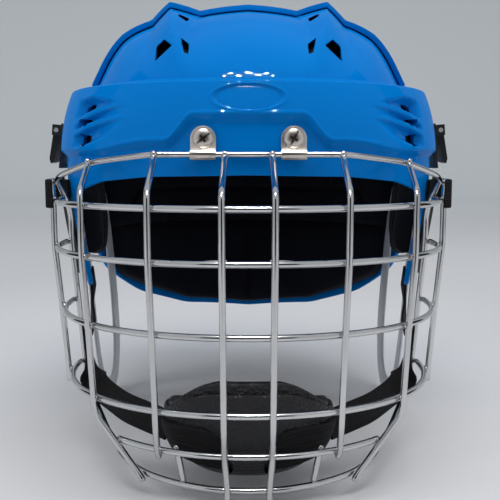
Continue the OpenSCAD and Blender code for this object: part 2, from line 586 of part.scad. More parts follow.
module lever_pins() both_sides() color(steel) at_lever() translate([pin_out, -lever_w / 2 - 3.1, pin_up])
    rotate([-90, 0, 0]) cylinder(h = lever_w + 6.2, r = lever_pin_r - 0.02);
module size_lever() color(black) at_lever() difference() {
    translate([0, lever_w / 2, 0]) rotate([90, 0, 0]) union() {
        translate([pin_out, pin_up, 0]) cylinder(h = lever_w, r = lever_pin_r + 1.4);
        linear_extrude(lever_w) polygon([[pin_out - 1.5, pin_up - 2], [pin_out + 2.4, pin_up - 1],
            [pin_out + lever_t + 1, pin_up - lever_l + 3], [pin_out + lever_t, pin_up - lever_l],
            [pin_out + lever_t - 2, pin_up - lever_l + 1], [pin_out - 1.2, pin_up - 8]]);
    }
    translate([pin_out, -lever_w, pin_up]) rotate([-90, 0, 0]) cylinder(h = 2 * lever_w, r = lever_pin_r + run_gap);
}
module size_lever_left() mirror([1, 0, 0]) size_lever();
module size_lever_right() size_lever();
module clamp_bolts() both_sides() color(steel) translate([rail_x - nut_t - rail_t - 0.4, lever_y, lever_z])
    rotate([0, 90, 0]) cylinder(h = base_x + 0.6 - rail_x + nut_t + rail_t, r = screw_r);
module clamp_bushes() both_sides() color(black) translate([rail_x + 0.1, lever_y, lever_z]) rotate([0, 90, 0])
    difference() {
        cylinder(h = shell_b - shell_wall - rail_x - 1.9, r = 5);
        translate([0, 0, -1]) cylinder(h = 8, r = screw_r + run_gap);
    }
module clamp_nuts() both_sides() color(steel) translate([rail_x - rail_t - 0.1 - nut_t, lever_y, lever_z])
    rotate([0, 90, 0]) difference() {
        cylinder(h = nut_t, r = 5.5, $fn = 6);
        translate([0, 0, -1]) cylinder(h = 8, r = screw_r + run_gap);
    }
rail_end = 0.47 * shell_a;
rail_bend = 24;
module slide_rail() {
    tip = [rail_x - 14 * sin(rail_bend), rail_end + 14 * cos(rail_bend)];
    in = rail_t * [cos(rail_bend), sin(rail_bend)];
    color(black) difference() {
        translate([0, 0, lever_z - rail_w / 2]) linear_extrude(rail_w)
            polygon([[rail_x - rail_t, lever_y - size_travel - 7], [rail_x, lever_y - size_travel - 7],
                [rail_x, rail_end], tip, tip - in, [rail_x - rail_t, rail_end - 0.3]]);
        for (y = [lever_y - size_travel, lever_y]) translate([rail_x - 5, y, lever_z]) rotate([0, 90, 0])
            cylinder(h = 10, r = screw_r + 0.4);
        translate([rail_x - 5, lever_y - size_travel, lever_z - screw_r - 0.4])
            cube([10, size_travel, 2 * screw_r + 0.8]);
    }
}
module slide_rail_left() mirror([1, 0, 0]) slide_rail();
module slide_rail_right() slide_rail();
module clamp_holes() both_sides() translate([rail_x - 4, lever_y, lever_z]) rotate([0, 90, 0])
    cylinder(h = 30, r = screw_r + run_gap);

// Clear ear guards: a rounded loop that follows the shell and leans in below it.
ear_y = 14;
ear_top = 176;
ear_lean = 0.075;
function side_x(y) = shell_b * pow(1 - pow(abs(y) / shell_a, squareness), 1 / squareness);
function ear_place(y, z, back) = [side_x(y) - back - ear_lean * max(0, equator_z - z)
    - 2 * pow(max(0, z - equator_z) / 22, 2), y, z];
module ear_guard() {
    function loop(a, ry, rz) = [ear_y + ry * sign(cos(a)) * pow(abs(cos(a)), 0.72),
        ear_top / 2 + rz * sign(sin(a)) * pow(abs(sin(a)), 0.72)];
    rings = [[ear_w / 2, ear_top / 2], [(ear_w - ear_strip) / 2, (ear_top - ear_strip) / 2],
        [ear_w / 2 - ear_strip, ear_top / 2 - ear_strip]];
    angles = [for (k = [0:27]) 360 * k / 28];
    color(clear) difference() {
        sheet([for (a = angles) [for (r = rings) let (q = loop(a, r[0], r[1])) ear_place(q[0], q[1], ear_back)]],
            [for (a = angles) [for (r = rings) let (q = loop(a, r[0], r[1])) ear_place(q[0], q[1], ear_back + ear_t)]],
            [for (a = angles) [true, true]], closed = true);
        ear_bolts(run_gap);
    }
}
module ear_guard_left() mirror([1, 0, 0]) ear_guard();
module ear_guard_right() ear_guard();
ear_screw_y = [1.5, 16];
module ear_bolts(more) for (y = ear_screw_y) translate([side_x(y) - 9, y, 169]) rotate([0, 90, 0])
    cylinder(h = 14, r = 1.6 + more);
module ear_screws() both_sides() color(steel) for (y = ear_screw_y) {
    translate([side_x(y) - 5.8, y, 169]) rotate([0, 90, 0]) cylinder(h = 6.6, r = 1.6);
    translate([side_x(y) + 0.4, y, 169]) rotate([0, 90, 0]) cylinder(h = 1.2, r = 3.6);
}

// Straps.
module flap_strap() {
    turns = [58.5, 60.5, 62.5, 64.5, 66.5];
    heights = [100, 112, 124, 136, 147, 158];
    rows = [for (turn = turns) [for (z = heights) climb_at(turn, z)]];
    function face(out) = [for (i = [0:len(turns) - 1]) [for (c = rows[i]) on_shell(turns[i], c, out)]];
    color(black) sheet(face(pad_gap + web_t), face(pad_gap), [for (i = [1:4]) [for (j = [1:5]) true]]);
}
module flap_strap_left() mirror([1, 0, 0]) flap_strap();
module flap_strap_right() flap_strap();
strap_z = hinge_z - 21.5;
strap_x = on_level(level(level_3), side_t, lap)[0] + wire_d / 2 + 0.6 + web_t / 2;
strap_front = on_level(level(level_3), side_t)[1] - wire_d / 2 - 0.4 - web_t / 2;
module side_strap() color(black) sweep(rounded([[shell_b + 2.9, -30, strap_z + 2], [shell_b + 0.4, -52, strap_z + 2],
    [max(strap_x + 2, side_x(side_plane + 18) + pad_gap + 2 * web_t + 0.4), side_plane + 18, strap_z],
    [strap_x + 0.9, side_plane - 7, strap_z], [strap_x, strap_front - 1, strap_z],
    [strap_x - 3.4, strap_front - 1.8, strap_z]], 4, 3), band(web_w, web_t), [0, 0, 1]);
module side_strap_left() mirror([1, 0, 0]) side_strap();
module side_strap_right() side_strap();
module strap_snaps() both_sides() color(steel) translate([shell_b + 2.85, -38, strap_z + 2]) rotate([0, 83, 0])
    cylinder(h = 1.4, r = 5);
cup_y = side_plane - 53;
cup_top = level_5 - 6;
module cup_strap() color(black) sweep(rounded([[cup_w / 2 - 1.2, cup_y + 2, 31], [cup_w / 2 + 4, cup_y + 8, 31],
    [68, -118, 33], [84, -99, 37], [91, -93, 42], [93.8, -90, 56], [95.1, -88.8, 72]], 6, 3),
    band(web_w, web_t), [0.15, 0.5, 1]);
module cup_strap_left() mirror([1, 0, 0]) cup_strap();
module cup_strap_right() cup_strap();
chin_strap_x = ear_place(-17, 92, ear_back + ear_t)[0] - web_t;
module chin_strap() color(black) sweep(rounded([[chin_strap_x, -17, 92], [chin_strap_x - 1.7, -34, 84],
    [chin_strap_x - 5.2, -52, 74], [chin_strap_x - 7.7, -62, 66]], 8, 3), band(web_w, web_t), [0.1, 0.6, 1]);
module chin_strap_left() mirror([1, 0, 0]) chin_strap();
module chin_strap_right() chin_strap();

// Chin cup: a deep bowl with foam inside.
cup_angles = [for (k = [0:19]) -18 * k];
cup_rows = [for (k = [0:8]) 90 * k / 8];
function in_cup(a, drop, out) =
    let (r = 1 / pow(pow(abs(cos(drop) * cos(a)) / (cup_w / 2 + out), squareness)
             + pow(abs(cos(drop) * sin(a)) / (cup_l / 2 + out), squareness)
             + pow(abs(sin(drop)) / (cup_h + out), squareness), 1 / squareness))
    [r * cos(drop) * cos(a), cup_y + r * cos(drop) * sin(a),
     cup_top - r * sin(drop) + cup_rise * smooth((-sin(a) - 0.1) / 0.75) * max(0, 1 - drop / 42)];
module cup_layer(out, in, top) {
    function face(d) = [for (a = cup_angles) [for (drop = cup_rows)
        in_cup(a, drop, d) + [0, 0, drop == 0 ? top : 0]]];
    sheet(face(out), face(in), [for (a = cup_angles) [for (k = [1:8]) true]], closed = true, pole = true);
}
module chin_cup() color(black) cup_layer(0, -cup_wall, 0);
module chin_cup_foam() color(foam_black) cup_layer(-cup_wall - 0.1, -cup_wall - cup_foam, 2);

// The origin lies under the middle of the whole part.
centre_y = (wire_d / 2 - on_level(level(level_3), inner_t, lap)[1] - shell_a - shell_gap - shell_wall) / 2;
translate([0, centre_y, 0]) {
    front_shell();
    rear_shell();
    forehead_pad();
    front_crown_pad();
    top_pad();
    temple_pad_left();
    temple_pad_right();
    nape_pad();
    rear_pad();
    rear_top_pad();
    cage_hinge_wire();
    cage_frame();
    cage_wire_2();
    cage_wire_3();
    cage_wire_4();
    cage_wire_5();
    cage_wire_6();
    cage_upright_1();
    cage_upright_2();
    cage_upright_3();
    cage_upright_4();
    cage_upright_5();
    cage_upright_6();
    cage_upright_7();
    cage_upright_8();
    cage_anchors();
    clip_left();
    clip_right();
    clip_screws();
    clip_tee_nuts();
    lever_base_left();
    lever_base_right();
    lever_pins();
    size_lever_left();
    size_lever_right();
    clamp_bolts();
    clamp_bushes();
    clamp_nuts();
    slide_rail_left();
    slide_rail_right();
    ear_guard_left();
    ear_guard_right();
    ear_screws();
    flap_strap_left();
    flap_strap_right();
    side_strap_left();
    side_strap_right();
    strap_snaps();
    cup_strap_left();
    cup_strap_right();
    chin_strap_left();
    chin_strap_right();
    chin_cup();
    chin_cup_foam();
}
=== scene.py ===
"""Ice hockey helmet with a full wire cage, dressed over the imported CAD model.

Lengths are in millimetres in the part's own design frame until build() turns them into the frame's metres.
"""
import math

import bmesh
import bpy
import numpy as np
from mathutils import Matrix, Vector


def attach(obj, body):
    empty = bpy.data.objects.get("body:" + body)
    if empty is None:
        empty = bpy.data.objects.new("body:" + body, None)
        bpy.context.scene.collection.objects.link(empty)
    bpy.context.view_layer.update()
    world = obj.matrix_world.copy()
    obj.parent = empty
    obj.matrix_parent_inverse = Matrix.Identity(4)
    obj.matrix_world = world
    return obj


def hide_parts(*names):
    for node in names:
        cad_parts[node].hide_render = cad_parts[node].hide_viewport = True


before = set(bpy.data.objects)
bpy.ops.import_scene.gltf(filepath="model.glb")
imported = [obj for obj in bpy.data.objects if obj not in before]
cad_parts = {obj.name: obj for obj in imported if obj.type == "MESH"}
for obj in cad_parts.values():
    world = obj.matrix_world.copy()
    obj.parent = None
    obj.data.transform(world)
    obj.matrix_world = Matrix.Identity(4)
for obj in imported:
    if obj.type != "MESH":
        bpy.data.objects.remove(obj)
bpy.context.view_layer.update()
scene = bpy.context.scene

MM = 0.001
CENTRE_Y = 22.069648
SIDES = ((1, "right"), (-1, "left"))

# ---- shell shape
SHELL_A, SHELL_B, SHELL_H, EQUATOR_Z = 140.0, 117.0, 101.0, 165.0
SQUARENESS = 2.35
WALL, GAP, WALL_TUCK = 3.0, 0.9, 0.1
RIM_Y = 45.0
BAND_TOP, BAND_CREASE, BAND_OUT = 209.0, 192.0, 4.0
LEDGE_W = 10.0
NOTCH_W = 70.0
FLAP_LEAN = 8.0
OVAL_Z, OVAL_HALF_W, OVAL_HALF_H, OVAL_DEPTH = 200.5, 18.5, 6.9, 0.95
LENS_TURN, LENS_Z, LENS_HALF_TURN, LENS_HALF_H, LENS_DEPTH = 41.0, 170.6, 3.6, 2.1, 0.9
BROW_Z, FLAP_Z, REAR_Z = 162.0, 93.0, 46.0
TONGUE_TURN, TONGUE_TUCK, WING_TURN, REAR_SPLIT = 100.0, 0.015, 112.0, 102.0
DOME, REAR_DOME, LOW_ROWS = 74, 80, 66
CROWN_Y = [-140, -95, -RIM_Y]
VALLEY_X, PEAK_X = [28, 36, 31], [35, 42, 46]


def sind(a):
    return np.sin(np.radians(a))


def cosd(a):
    return np.cos(np.radians(a))


def smooth(v):
    c = np.clip(v, 0.0, 1.0)
    return c * c * (3 - 2 * c)


def ramp(v, soft=0.12):
    """A straight rise from 0 to 1 whose two corners are rounded."""
    def area(t):
        return np.where(t < 0, 0, np.where(t < 1, t * t / 2, t - 0.5))
    return (area(v + soft) - area(v - soft)) / (2 * soft)


def radius_of(*parts):
    """How far out a rounded-box surface lies along a direction, given over its half sizes."""
    return sum(np.abs(part) ** SQUARENESS for part in parts) ** (-1 / SQUARENESS)


def left_over(*parts):
    """The share of the last half size that a rounded box keeps at these shares of the others."""
    return np.clip(1 - sum(np.abs(part) ** SQUARENESS for part in parts), 0, 1) ** (1 / SQUARENESS)


def plan_radius(turn):
    return radius_of(sind(turn) / SHELL_B, cosd(turn) / SHELL_A)


def off_centre(turn):
    """Degrees away from straight ahead, 0 to 180, of a turn of -180 to 360."""
    return np.where(np.abs(turn) > 180, 360 - np.abs(turn), np.abs(turn))


def tuck(turn, drop):
    return 1 - WALL_TUCK * (0.4 + 0.6 * smooth((off_centre(turn) - 60) / 90)) * (drop / 100) ** 2


def crown_step(turn, z):
    """How far the crown stands in above the band's ledge."""
    turn = off_centre(turn)
    side = smooth((turn - 10) / 50) * smooth((175 - turn) / 70)
    return (1 + (LEDGE_W - 1) * side) * smooth((z - BAND_TOP) / 3) * (1 - smooth((z - BAND_TOP - 6) / 45))


def on_shell(turn, climb, out):
    turn, climb, out = np.broadcast_arrays(*[np.asarray(v, float) for v in (turn, climb, out)])
    down, up = np.minimum(climb, 0), np.maximum(climb, 0)
    bare = radius_of(cosd(up) / plan_radius(turn), sind(up) / SHELL_H)
    flat = np.where(climb < 0, plan_radius(turn) * tuck(turn, -down) + out, (bare + out) * cosd(up))
    z = EQUATOR_Z + np.where(climb < 0, down, (bare + out) * sind(up))
    flat = flat - crown_step(turn, EQUATOR_Z + bare * sind(up))
    return np.stack([flat * sind(turn), -flat * cosd(turn), z], -1)


def climb_at(turn, z):
    turn, z = np.broadcast_arrays(np.asarray(turn, float), np.asarray(z, float))
    rise = np.clip((z - EQUATOR_Z) / SHELL_H, 0, 0.9999)
    return np.where(z < EQUATOR_Z, z - EQUATOR_Z,
                    np.degrees(np.arctan2(z - EQUATOR_Z, plan_radius(turn) * left_over(rise))))


def climb_at_y(turn, y):
    x = y * np.tan(np.radians(turn))
    return np.degrees(np.arctan2(SHELL_H * left_over(x / SHELL_B, y / SHELL_A), np.hypot(x, y)))


def brow_y(x, z):
    return -SHELL_A * left_over(x / SHELL_B, max(0, z - EQUATOR_Z) / SHELL_H)


def crown_out(p):
    """The sunk centre panel and the two ridges beside it."""
    x, y, z = np.abs(p[..., 0]), p[..., 1], p[..., 2]
    valley, peak = np.interp(y, CROWN_Y, VALLEY_X), np.interp(y, CROWN_Y, PEAK_X)
    foot = peak + 14
    rise = np.where(x < valley, -3 - 2 * x / valley,
                    np.where(x < peak, -5 + 9.3 * (x - valley) / (peak - valley),
                             np.where(x < foot, 4.3 - 6.8 * (x - peak) / 14,
                                      -2.5 + 2.5 * np.clip((x - foot) / 16, 0, 1))))
    return rise * smooth((z - BAND_TOP - 4) / 35) * smooth((SHELL_A - y) / 90)


def front_edge(turn):
    stops = [0, 22, 36, 48, 53, 55, 57, 60, 63, 65.5, 67.5, 70, 76, 90, WING_TURN]
    heights = [BROW_Z, BROW_Z - 1, BROW_Z - 4, BROW_Z - 10, BROW_Z - 16, FLAP_Z + 12, FLAP_Z + 3, FLAP_Z,
               FLAP_Z + 2, FLAP_Z + 8, FLAP_Z + 24, BROW_Z - 22, BROW_Z - 13, BROW_Z, BROW_Z + 2]
    return np.interp(np.abs(turn), stops, heights)


def crease_z(turn):
    x = np.abs(plan_radius(turn) * sind(turn))
    return BAND_CREASE - 13 * smooth((x - NOTCH_W / 2) / 14 + 0.5) - 4 * smooth((np.abs(turn) - 20) / 17)


def scoop(turn, z):
    """The sunk air scoop at each end of the band, with two fins left standing in it."""
    t = np.abs(turn)
    top = np.interp(t, [27, 33, 40, 46], [198.5, 201, 203.2, 202])
    low = np.interp(t, [27, 33, 38.5, 46], [190, 181, 178, 176])
    depth = 5.2 * ramp((t - 28) / 13, 0.2) * (1 - ramp((t - 44.2) / 2.4, 0.2))
    inside = ramp((z - low) / 2.4, 0.2) * ramp((top - z) / 2.0, 0.2)
    fins = 0
    for heights in ([198.2, 197.4, 195.8, 193.3, 189.6], [191.4, 190.7, 189.1, 187.0, 183.6]):
        middle = np.interp(t, [27.5, 32.2, 36.2, 41.5, 47], heights)
        half = np.interp(t, [27.5, 34, 47], [0.5, 1.3, 1.5])
        fins = np.maximum(fins, 1 - ramp((np.abs(z - middle) - half) / 1.0, 0.25))
    return depth * inside * (1 - 0.93 * fins)


def front_crown(p):
    """On the front shell the ridges end under the rear shell's rim."""
    crown = crown_out(p)
    return np.minimum(crown, 0) + np.maximum(crown, 0) * smooth((-43 - p[..., 1]) / 4)


def panel_line(p):
    """The fine raised line on each side of the crown's sunk centre panel, down to the band."""
    x, y, z = np.abs(p[..., 0]), p[..., 1], p[..., 2]
    valley = np.interp(y, CROWN_Y, VALLEY_X)
    return 0.7 * np.exp(-((x - valley - 0.8) / 1.5) ** 2) * smooth((z - BAND_TOP - 1) / 4) * (y < -RIM_Y)


def front_out(turn, climb):
    p = on_shell(turn, climb, 0)
    x, z = p[..., 0], p[..., 2]
    crease = crease_z(turn)
    band = BAND_OUT * ramp((z - crease + 3.6) / 3.6, 0.14) * (1 - ramp((z - BAND_TOP) / 2.6, 0.25))
    band = band * smooth((TONGUE_TURN - 2 - np.abs(turn)) / 6)
    oval = np.sqrt((x / OVAL_HALF_W) ** 2 + ((z - OVAL_Z) / OVAL_HALF_H) ** 2)
    dent = np.where(np.abs(turn) < 20, OVAL_DEPTH * (1 - ramp((oval - 0.9) / 0.08, 0.3))
                    - 0.35 * np.exp(-((oval - 1.01) / 0.05) ** 2), 0)
    lens = ((np.abs(turn) - LENS_TURN) / LENS_HALF_TURN) ** 2 + ((z - LENS_Z) / LENS_HALF_H) ** 2
    lens_dent = LENS_DEPTH * (1 - ramp((lens - 0.7) / 0.5, 0.3))
    lip = 0.4 * np.exp(-((z - crease - 0.9) / 0.9) ** 2) * (1 - smooth((np.abs(x) - 62) / 14))
    return band + lip - dent - lens_dent - scoop(turn, z) + front_crown(p) + panel_line(p)


def tongue(p):
    """Behind the rim the front shell's crown keeps the section that it has there."""
    y = np.clip(p[..., 1], -RIM_Y, RIM_Y)
    scale = left_over(RIM_Y / SHELL_A) / left_over(y / SHELL_A)
    k = 1 + (scale - 1 - TONGUE_TUCK * smooth((y + RIM_Y) / 8)) * smooth((p[..., 2] - BAND_TOP) / 4)
    k = np.where(np.abs(p[..., 1]) >= RIM_Y, 1, k)
    return np.stack([p[..., 0] * k, p[..., 1], EQUATOR_Z + (p[..., 2] - EQUATOR_Z) * k], -1)


def flap_in(points):
    """The temple flaps lean in towards the cheeks at their tips."""
    x, y, z = np.abs(points[..., 0]), points[..., 1], points[..., 2]
    turn = np.degrees(np.arctan2(x, -y))
    at_flap = smooth((turn - 48) / 5) * (1 - smooth((turn - 66) / 8))
    shift = FLAP_LEAN * at_flap * (np.clip(BROW_Z - 8 - z, 0, 70) / 61) ** 1.3
    return np.stack([points[..., 0] - np.sign(points[..., 0]) * shift, y, z], -1)


# ---- mesh tools
def spaced(stops):
    """Values from [(start, step), ..., (end, None)]."""
    values = []
    for (a, step), (b, _) in zip(stops, stops[1:]):
        n = max(1, int(round((b - a) / step)))
        values += [a + (b - a) * k / n for k in range(n)]
    return np.array(values + [stops[-1][0]])


def sheet(outer, inner, present=None, closed=False):
    """Points and faces of a thick sheet between two grids. present says which cells are there."""
    nu, nv = outer.shape[:2]
    index = np.arange(nu * nv).reshape(nu, nv)
    there = np.ones((nu if closed else nu - 1, nv - 1), bool) if present is None else present
    i, j = np.nonzero(there)
    n = (i + 1) % nu
    corners = [index[i, j], index[i, j + 1], index[n, j + 1], index[n, j]]
    back = nu * nv
    faces = [np.stack(corners, -1), np.stack(corners[::-1], -1) + back]

    def wall(absent, a, b):
        edge = absent[i, j]
        faces.append(np.stack([a[edge], b[edge], b[edge] + back, a[edge] + back], -1))

    padded = np.pad(there, 1)
    if closed:
        padded[0, 1:-1], padded[-1, 1:-1] = there[-1], there[0]
    wall(~padded[1:-1, :-2], corners[3], corners[0])
    wall(~padded[1:-1, 2:], corners[1], corners[2])
    wall(~padded[:-2, 1:-1], corners[0], corners[1])
    wall(~padded[2:, 1:-1], corners[2], corners[3])
    return np.concatenate([outer.reshape(-1, 3), inner.reshape(-1, 3)]), np.concatenate(faces)


def shade(mesh, degrees=35):
    mesh.shade_smooth()
    mesh.set_sharp_from_angle(angle=math.radians(degrees))


def bevel_edges(bm, amount, segments=2):
    edges = [e for e in bm.edges if len(e.link_faces) == 2 and e.calc_face_angle(0) > math.radians(58)]
    bmesh.ops.bevel(bm, geom=edges, offset=amount * MM, segments=segments, profile=0.6, affect="EDGES",
                    clamp_overlap=False)


def weld_near(bm, near, tiny):
    bmesh.ops.remove_doubles(bm, verts=bm.verts, dist=near)
    bmesh.ops.dissolve_degenerate(bm, dist=tiny, edges=bm.edges)


def soften(obj, amount, segments=2):
    """Rounds a finished object's hard edges."""
    bm = bmesh.new()
    bm.from_mesh(obj.data)
    weld_near(bm, 1.5e-5, 1e-5)
    bevel_edges(bm, amount, segments)
    bm.to_mesh(obj.data)
    bm.free()
    shade(obj.data)


def build(name, points, faces, weld=True, round_edges=0.0, sharp=35, uv=None):
    """A mesh object in the frame's metres."""
    mesh = bpy.data.meshes.new(name)
    placed = (np.asarray(points, float) + [0, CENTRE_Y, 0]) * MM
    mesh.from_pydata(placed.tolist(), [], [list(f) for f in faces])
    if uv is not None:
        layer = mesh.uv_layers.new(name="weave")
        loops = np.empty(len(mesh.loops), int)
        mesh.loops.foreach_get("vertex_index", loops)
        layer.data.foreach_set("uv", np.asarray(uv, float)[loops].ravel())
    if weld or round_edges:
        bm = bmesh.new()
        bm.from_mesh(mesh)
        if weld:
            weld_near(bm, 2e-6, 1e-7)
            bmesh.ops.delete(bm, geom=[v for v in bm.verts if not v.link_faces], context="VERTS")
        bmesh.ops.recalc_face_normals(bm, faces=bm.faces)
        if round_edges:
            bevel_edges(bm, round_edges)
        bm.to_mesh(mesh)
        bm.free()
    shade(mesh, sharp)
    obj = bpy.data.objects.new(name, mesh)
    scene.collection.objects.link(obj)
    return obj


def join(name, parts, **options):
    """One object from several (points, faces) pairs."""
    points, faces = [], []
    for p, f in parts:
        faces += [[v + len(points) for v in face] for face in f]
        points += list(p)
    return build(name, points, faces, **options)


def prism(outline, height, turned=lambda p: p):
    """A 2-D outline pushed along Z from height[0] to height[1], then moved by turned."""
    n = len(outline)
    points = [turned((x, y, z)) for z in height for x, y in outline]
    faces = [[*range(n)][::-1], [*range(n, 2 * n)]]
    faces += [[k, (k + 1) % n, n + (k + 1) % n, n + k] for k in range(n)]
    return np.array(points), faces


def cut(obj, parts):
    """Cuts closed forms out of an object, one after another."""
    for part in parts:
        tool = join(obj.name + "_cutter", [part], sharp=30)
        modifier = obj.modifiers.new("cut", "BOOLEAN")
        modifier.operation = "DIFFERENCE"
        modifier.object = tool
        modifier.solver = "EXACT"
        depsgraph = bpy.context.evaluated_depsgraph_get()
        mesh = bpy.data.meshes.new_from_object(obj.evaluated_get(depsgraph))
        obj.modifiers.remove(modifier)
        old = obj.data
        obj.data = mesh
        bpy.data.meshes.remove(old)
        bpy.data.objects.remove(tool)
    shade(obj.data)


def finish_piece(obj, body, slot, material, *nodes):
    obj.data.materials.clear()
    obj.data.materials.append(material)
    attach(obj, body)
    if nodes:
        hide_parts(*nodes)


def unit(v):
    return v / np.maximum(np.linalg.norm(v, axis=-1, keepdims=True), 1e-12)


def skin(rings):
    """A closed form through rings of equally many points, with flat ends."""
    m, sides = len(rings), len(rings[0])
    index = np.arange(m * sides).reshape(m, sides)
    nxt = np.roll(index, -1, axis=1)
    faces = np.stack([index[:-1], nxt[:-1], nxt[1:], index[1:]], -1).reshape(-1, 4).tolist()
    return np.concatenate(rings), faces + [index[0].tolist()[::-1], index[-1].tolist()]


def tube(path, radius, sides=16):
    """A round wire with domed ends."""
    path = np.asarray(path, float)
    along = unit(np.gradient(path, axis=0))
    up = np.empty_like(path)
    start = np.cross(along[0], (0.13, 0.31, 0.94))
    up[0] = start / np.linalg.norm(start)
    for k in range(1, len(path)):
        v = up[k - 1] - along[k] * np.dot(up[k - 1], along[k])
        up[k] = v / np.linalg.norm(v)
    across = np.cross(along, up)
    dome = [(0.35, 0.94), (0.75, 0.66), (0.95, 0.3)]
    rows = [(0, -beyond, size) for beyond, size in dome[::-1]] + [(k, 0, 1) for k in range(len(path))] + \
        [(-1, beyond, size) for beyond, size in dome]
    angle = np.arange(sides) * 360 / sides
    return skin([path[k] + radius * (beyond * along[k] + size * (
        np.outer(cosd(angle), up[k]) + np.outer(sind(angle), across[k]))) for k, beyond, size in rows])


def rounded(path, reach, count=8):
    path = [np.asarray(p, float) for p in path]
    result = [path[0]]
    for a, p, b in zip(path, path[1:], path[2:]):
        da, db = a - p, b - p
        ra, rb = min(reach, 0.45 * np.linalg.norm(da)), min(reach, 0.45 * np.linalg.norm(db))
        p0, p2 = p + da / np.linalg.norm(da) * ra, p + db / np.linalg.norm(db) * rb
        for k in range(count + 1):
            t = k / count
            result.append((1 - t) ** 2 * p0 + 2 * t * (1 - t) * p + t * t * p2)
    return np.array(result + [path[-1]])


def run_lengths(path):
    return np.concatenate([[0], np.cumsum(np.linalg.norm(np.diff(path, axis=0), axis=1))])


def resampled(path, step, trim=0.0):
    path = np.asarray(path, float)
    lengths = run_lengths(path)
    keep = np.concatenate([[True], np.diff(lengths) > 1e-6])
    path, lengths = path[keep], lengths[keep]
    at = np.linspace(trim, lengths[-1] - trim, max(2, int(round(lengths[-1] / step)) + 1))
    return np.stack([np.interp(at, lengths, path[:, k]) for k in range(3)], -1)


def ribbon(path, guide, width, thick):
    """A strap: a flat band with rounded selvedges swept along a path, with UVs for its weave."""
    along = unit(np.gradient(path, axis=0))
    across = unit(np.cross(along, guide))
    up = np.cross(across, along)
    edge = thick / 2
    flat = [-width / 2 + edge + (width - 2 * edge) * k / 8 for k in range(9)]
    bends = [(width / 2 - edge + edge * math.sin(a), edge * math.cos(a)) for a in (0.8, 1.57, 2.34)]
    half = [(x, edge) for x in flat] + bends
    section = half + [(-x, -y) for x, y in half]
    points, faces = skin([[p + u * x + a * y for x, y in section] for p, u, a in zip(path, up, across)])
    return points, faces, np.array([(x * MM, at * MM) for at in run_lengths(path) for x, _ in section])


def disc(centre, axis, rings, sides=40):
    """A turned form: rings of (radius, height) along an axis, from the outer edge to the middle."""
    centre, axis = np.asarray(centre, float), unit(np.asarray(axis, float))
    u = unit(np.cross(axis, (0.0, 0.0, 1.0)))
    v = np.cross(axis, u)
    angle = np.arange(sides) * 360 / sides
    spokes = np.outer(cosd(angle), u) + np.outer(sind(angle), v)
    return skin([centre + axis * h + r * spokes for r, h in rings])


# ---- materials
class Nodes:
    """Short names for the nodes that the materials are made of."""

    def __init__(self, name):
        self.material = bpy.data.materials.new(name)
        self.material.use_nodes = True
        self.tree = self.material.node_tree
        self.tree.nodes.clear()
        self.shader = self.new("ShaderNodeBsdfPrincipled")
        self.link(self.shader.outputs[0], self.new("ShaderNodeOutputMaterial").inputs["Surface"])
        self.object = self.new("ShaderNodeTexCoord").outputs["Object"]

    def new(self, kind, **values):
        node = self.tree.nodes.new(kind)
        for key, value in values.items():
            setattr(node, key, value)
        return node

    def link(self, a, b):
        self.tree.links.new(a, b)

    def set(self, **values):
        for key, value in values.items():
            self.shader.inputs[key.replace("_", " ")].default_value = value

    def noise(self, scale, detail=3.0, rough=0.55, stretch=None):
        node = self.new("ShaderNodeTexNoise")
        for socket, number in (("Scale", scale), ("Detail", detail), ("Roughness", rough)):
            node.inputs[socket].default_value = number
        source = self.object
        if stretch:
            mapping = self.new("ShaderNodeMapping")
            mapping.inputs["Scale"].default_value = stretch
            self.link(source, mapping.inputs["Vector"])
            source = mapping.outputs[0]
        self.link(source, node.inputs["Vector"])
        return node.outputs["Fac"]

    def voronoi(self, scale):
        node = self.new("ShaderNodeTexVoronoi")
        node.inputs["Scale"].default_value = scale
        self.link(self.object, node.inputs["Vector"])
        return node.outputs["Distance"]

    def math(self, operation, a, b=None):
        node = self.new("ShaderNodeMath", operation=operation)
        for socket, value in zip(node.inputs, (a, b)):
            if isinstance(value, (int, float)):
                socket.default_value = value
            elif value is not None:
                self.link(value, socket)
        return node.outputs[0]

    def blend(self, a, a_share, b, b_share):
        return self.math("ADD", self.math("MULTIPLY", a, a_share), self.math("MULTIPLY", b, b_share))

    def range(self, value, lo, hi, to_lo, to_hi, kind="LINEAR"):
        node = self.new("ShaderNodeMapRange", interpolation_type=kind)
        self.link(value, node.inputs["Value"])
        for name, number in zip(("From Min", "From Max", "To Min", "To Max"), (lo, hi, to_lo, to_hi)):
            node.inputs[name].default_value = number
        return node.outputs[0]

    def colours(self, value, stops):
        node = self.new("ShaderNodeValToRGB")
        ramp_stops = node.color_ramp.elements
        while len(ramp_stops) < len(stops):
            ramp_stops.new(0.5)
        for element, (position, colour) in zip(ramp_stops, stops):
            element.position = position
            element.color = (*colour, 1)
        self.link(value, node.inputs[0])
        return node.outputs[0]

    def bump(self, height, strength, distance):
        node = self.new("ShaderNodeBump")
        node.inputs["Strength"].default_value = strength
        node.inputs["Distance"].default_value = distance
        self.link(height, node.inputs["Height"])
        return node.outputs[0]

    def use(self, **sockets):
        for key, value in sockets.items():
            self.link(value, self.shader.inputs[key.replace("_", " ")])
        return self.material


def blue_shell():
    m = Nodes("glossy_blue_shell")
    cloud = m.noise(14, 2)
    orange_peel = m.noise(420, 2)
    swirl = m.noise(60, 4, 0.7, stretch=(1, 0.35, 2.4))
    colour = m.colours(cloud, [(0.3, (0.0004, 0.158, 0.520)), (0.7, (0.0008, 0.175, 0.560))])
    m.set(Coat_Weight=0.22, Coat_Roughness=0.02, Coat_IOR=1.33, Specular_IOR_Level=0.0)
    return m.use(Base_Color=colour, Roughness=m.range(swirl, 0.3, 0.75, 0.24, 0.36),
                 Normal=m.bump(orange_peel, 0.05, 0.0004))


